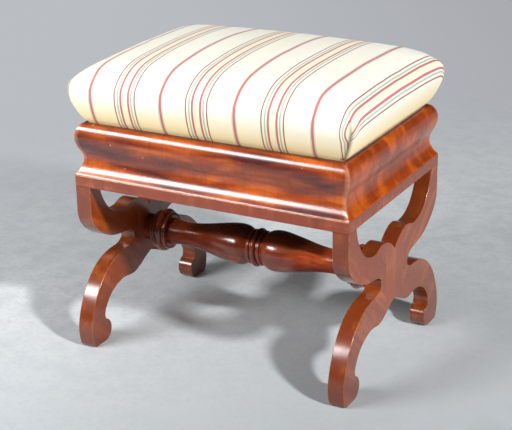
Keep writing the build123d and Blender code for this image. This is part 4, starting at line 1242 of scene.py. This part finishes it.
def strap(name, node, centre, half_run, across, weave):
    """A webbing strap as a grid of its two faces: its height is level where it is tacked down and follows the
    weave's rise at each place along it, over or under the straps that it crosses."""
    length = np.linspace(-half_run, half_run, 81)
    width = np.linspace(-STRAP_HALF_WIDTH, STRAP_HALF_WIDTH, 9)
    a, b = np.meshgrid(length, width, indexing="ij")
    lower = SEAT_TOP + STRAP_GAP + weave(a)
    x, y = (b + centre, a) if across else (a, b + centre)
    bottom, top = [np.stack([x, y, level], -1) for level in (lower, lower + STRAP_THICKNESS)]
    rows, around = a.shape[0], 2 * a.shape[1]
    points = np.concatenate([bottom[:, ::-1], top], axis=1).reshape(-1, 3)
    faces = grid_faces(rows, around, True)
    faces += [list(range(around))[::-1], [(rows - 1) * around + k for k in range(around)]]
    if not across:
        faces = [face[::-1] for face in faces]
    piece = make_piece(name, points, faces, [jute], "seat", [node], smooth=50)
    thread = [np.concatenate([b[:, ::-1], b], 1), np.concatenate([a, a], 1), np.zeros((rows, around))]
    put_values(piece, "thread", np.stack(thread, -1).reshape(-1, 3))


def weave_over(places, first_over):
    """The rise of a strap where it crosses others at these places, over and under by turns."""
    def rise(along):
        height = 0 * along
        for number, place in enumerate(places):
            way = 1 if (number + first_over) % 2 == 0 else -1
            risen = np.clip((WEAVE_REACH - np.abs(along - place)) / WEAVE_RAMP, 0, 1)
            height = height + way * WEAVE_RISE * risen
        return height
    return rise


def seat_base():
    """The webbing: three long straps, four woven across them. Then the hessian that lies on it."""
    long_places = [k * (2 * SEAT_Y - STRAP_MARGIN) / len(LONG_ORDER) for k in LONG_ORDER]
    cross_places = [k * (2 * SEAT_X - STRAP_MARGIN) / len(CROSS_ORDER) for k in CROSS_ORDER]
    for k, y in enumerate(long_places):
        strap(f"long_strap_{k + 1}", f"webbing_long_{k + 1}", y, LONG_STRAP_HALF, False, weave_over((), 0))
    for k, x in enumerate(cross_places):
        strap(f"cross_strap_{k + 1}", f"webbing_cross_{k + 1}", x, CROSS_STRAP_HALF, True,
              weave_over(long_places, k + 1))
    x, y = SEAT_X - HESSIAN_MARGIN, SEAT_Y - HESSIAN_MARGIN
    rows = 45
    gx, gy = np.meshgrid(np.linspace(-x, x, rows), np.linspace(-y, y, rows), indexing="ij")
    sheet = np.stack([gx, gy, np.full(gx.shape, HESSIAN_LEVEL + STRAP_GAP)], -1)
    both = np.concatenate([sheet, (sheet + (0, 0, HESSIAN_THICKNESS))[:, ::-1]], axis=1).reshape(-1, 3)
    faces = grid_faces(rows, 2 * rows, True)
    faces += [list(range(2 * rows))[::-1], [(rows - 1) * 2 * rows + k for k in range(2 * rows)]]
    piece = make_piece("hessian_sheet", both, faces, [sacking], "seat", ["hessian"], smooth=50)
    put_values(piece, "thread", both * (1, 1, 0))
    2 * x
    2 * y


# The studio

FLOOR_HALF = 9.0
DIM_FLOOR, BRIGHT_FLOOR = paint(150, 156, 161), paint(236, 241, 244)
MOTTLE_TINT, SPECKLE_TINT, BROAD_TINT = paint(170, 178, 184), paint(150, 158, 166), paint(184, 191, 197)
LEFT_GLOW, RIGHT_GLOW = paint(186, 190, 195), paint(163, 164, 169)
# A lamp's name, place, target, width and height, power and colour
LAMPS = (("front_left_softbox", (-1.12, -1.55, 1.24), (0, 0, 0.3), (1.25, 0.46), 46, (1, 1, 1)),
         ("right_softbox", (2.60, -1.06, 1.95), (0, 0, 0.2), (0.24, 0.24), 124, (1.0, 0.99, 0.97)),
         ("rear_left_softbox", (-0.90, 1.10, 2.80), (0, 0.2, 0.2), (1.5, 1.5), 9, (0.97, 0.99, 1.0)))
SKY_COLOUR, SKY_STRENGTH = (0.80, 0.84, 0.88, 1), 0.05
# The camera that was fitted to the photograph: place in metres, turn in degrees, lens and sensor in
# millimetres, and shift as a share of the picture's width
CAMERA_PLACE = (1.0504, -1.9560, 1.0681)
YAW, PITCH, ROLL = 30.69, 19.72, -1.66
LENS, SENSOR = 102.12, 36
SHIFT_X, SHIFT_Y = 0.109, -0.068


def floor():
    """A wide pale floor. It is greyer in front on the right and whiter towards the back on the left."""
    ground = bpy.data.meshes.new("floor")
    size = FLOOR_HALF
    corners = [(-size, -size, 0), (size, -size, 0), (size, size, 0), (-size, size, 0)]
    ground.from_pydata(corners, [], [[0, 1, 2, 3]])
    f = Finish("floor", Specular_IOR_Level=0.25)
    x, y = f.parts(f.place())[:2]
    back = (y * 0.80 - x * 0.75).step(0.10, 1.6)
    mottle = f.noise(f.place(), scale=24, detail=5.0, rough=0.6)
    broad = f.noise(f.place(), scale=3.5, detail=3.0)
    body = f.mix((y * 0.86 - x * 0.95).step(-0.9, 0.9), DIM_FLOOR, BRIGHT_FLOOR)
    body = f.mix(mottle.step(0.35, 0.7) * 0.35, body, MOTTLE_TINT)
    speckle = f.noise(f.place(), scale=110, detail=4.0, rough=0.7)
    body = f.mix(speckle.step(0.45, 0.7) * 0.25, body, SPECKLE_TINT)
    f.give("Base Color", f.mix(broad.step(0.35, 0.7) * 0.25, body, BROAD_TINT))
    f.give("Roughness", mottle.step(0.3, 0.7, 0.45, 0.6))
    # far off, only where it is looked at or mirrored, the floor shines faintly like a lit studio cove
    far_glow = f.mix((x * 0.86 + y * 0.5).step(-0.6, 1.6), LEFT_GLOW, RIGHT_GLOW)
    path = f.node("ShaderNodeLightPath", output="Is Camera Ray")
    mirrored = f.node("ShaderNodeLightPath", output="Is Glossy Ray")
    glow = f.node("ShaderNodeEmission", {}, {"Color": far_glow, "Strength": 1.0})
    both = f.node("ShaderNodeMixShader", {}, {0: back * (path + mirrored)})
    f.tree.links.new(f.shader.outputs[0], both.socket.node.inputs[1])
    f.tree.links.new(glow.socket, both.socket.node.inputs[2])
    f.tree.links.new(both.socket, f.tree.nodes["Material Output"].inputs["Surface"])
    ground.materials.append(f.material)
    piece = bpy.data.objects.new("floor", ground)
    bpy.context.scene.collection.objects.link(piece)


def lamp(name, place, target, size, power, colour):
    """A soft rectangular lamp that faces a point."""
    light = bpy.data.lights.new(name, "AREA")
    light.shape = "RECTANGLE"
    light.size, light.size_y = size
    light.energy = power
    light.color = colour
    holder = bpy.data.objects.new(name, light)
    holder.location = place
    holder.rotation_euler = (Vector(target) - Vector(place)).to_track_quat("-Z", "Y").to_euler()
    bpy.context.scene.collection.objects.link(holder)


def studio():
    """The floor, three lamps and a dim pale sky."""
    floor()
    for values in LAMPS:
        lamp(*values)
    world = bpy.data.worlds.new("studio")
    bpy.context.scene.world = world
    world.use_nodes = True
    background = world.node_tree.nodes["Background"]
    background.inputs["Color"].default_value = SKY_COLOUR
    background.inputs["Strength"].default_value = SKY_STRENGTH


def camera():
    """The camera at the photograph's place. It looks along (-sin yaw cos pitch, cos yaw cos pitch, -sin
    pitch), and its right and its up are turned by the roll."""
    yaw, pitch, roll = math.radians(YAW), math.radians(PITCH), math.radians(ROLL)
    ahead = Vector((-math.sin(yaw) * math.cos(pitch), math.cos(yaw) * math.cos(pitch), -math.sin(pitch)))
    right = ahead.cross(Vector((0, 0, 1))).normalized()
    up = right.cross(ahead)
    across = right * math.cos(roll) + up * math.sin(roll)
    above = up * math.cos(roll) - right * math.sin(roll)
    data = bpy.data.cameras.new("camera")
    data.lens = LENS
    data.sensor_width = SENSOR
    data.sensor_fit = "HORIZONTAL"
    data.shift_x = SHIFT_X
    data.shift_y = SHIFT_Y
    holder = bpy.data.objects.new("camera", data)
    rows = [(across[k], above[k], -ahead[k], CAMERA_PLACE[k]) for k in range(3)]
    holder.matrix_world = Matrix((*rows, (0, 0, 0, 1)))
    bpy.context.scene.collection.objects.link(holder)
    bpy.context.scene.camera = holder


bpy.context.scene.view_settings.view_transform = "Standard"
camera()
end_frames()
stretcher()
frame_rails()
cushion()
stuffing()
seat_base()
studio()
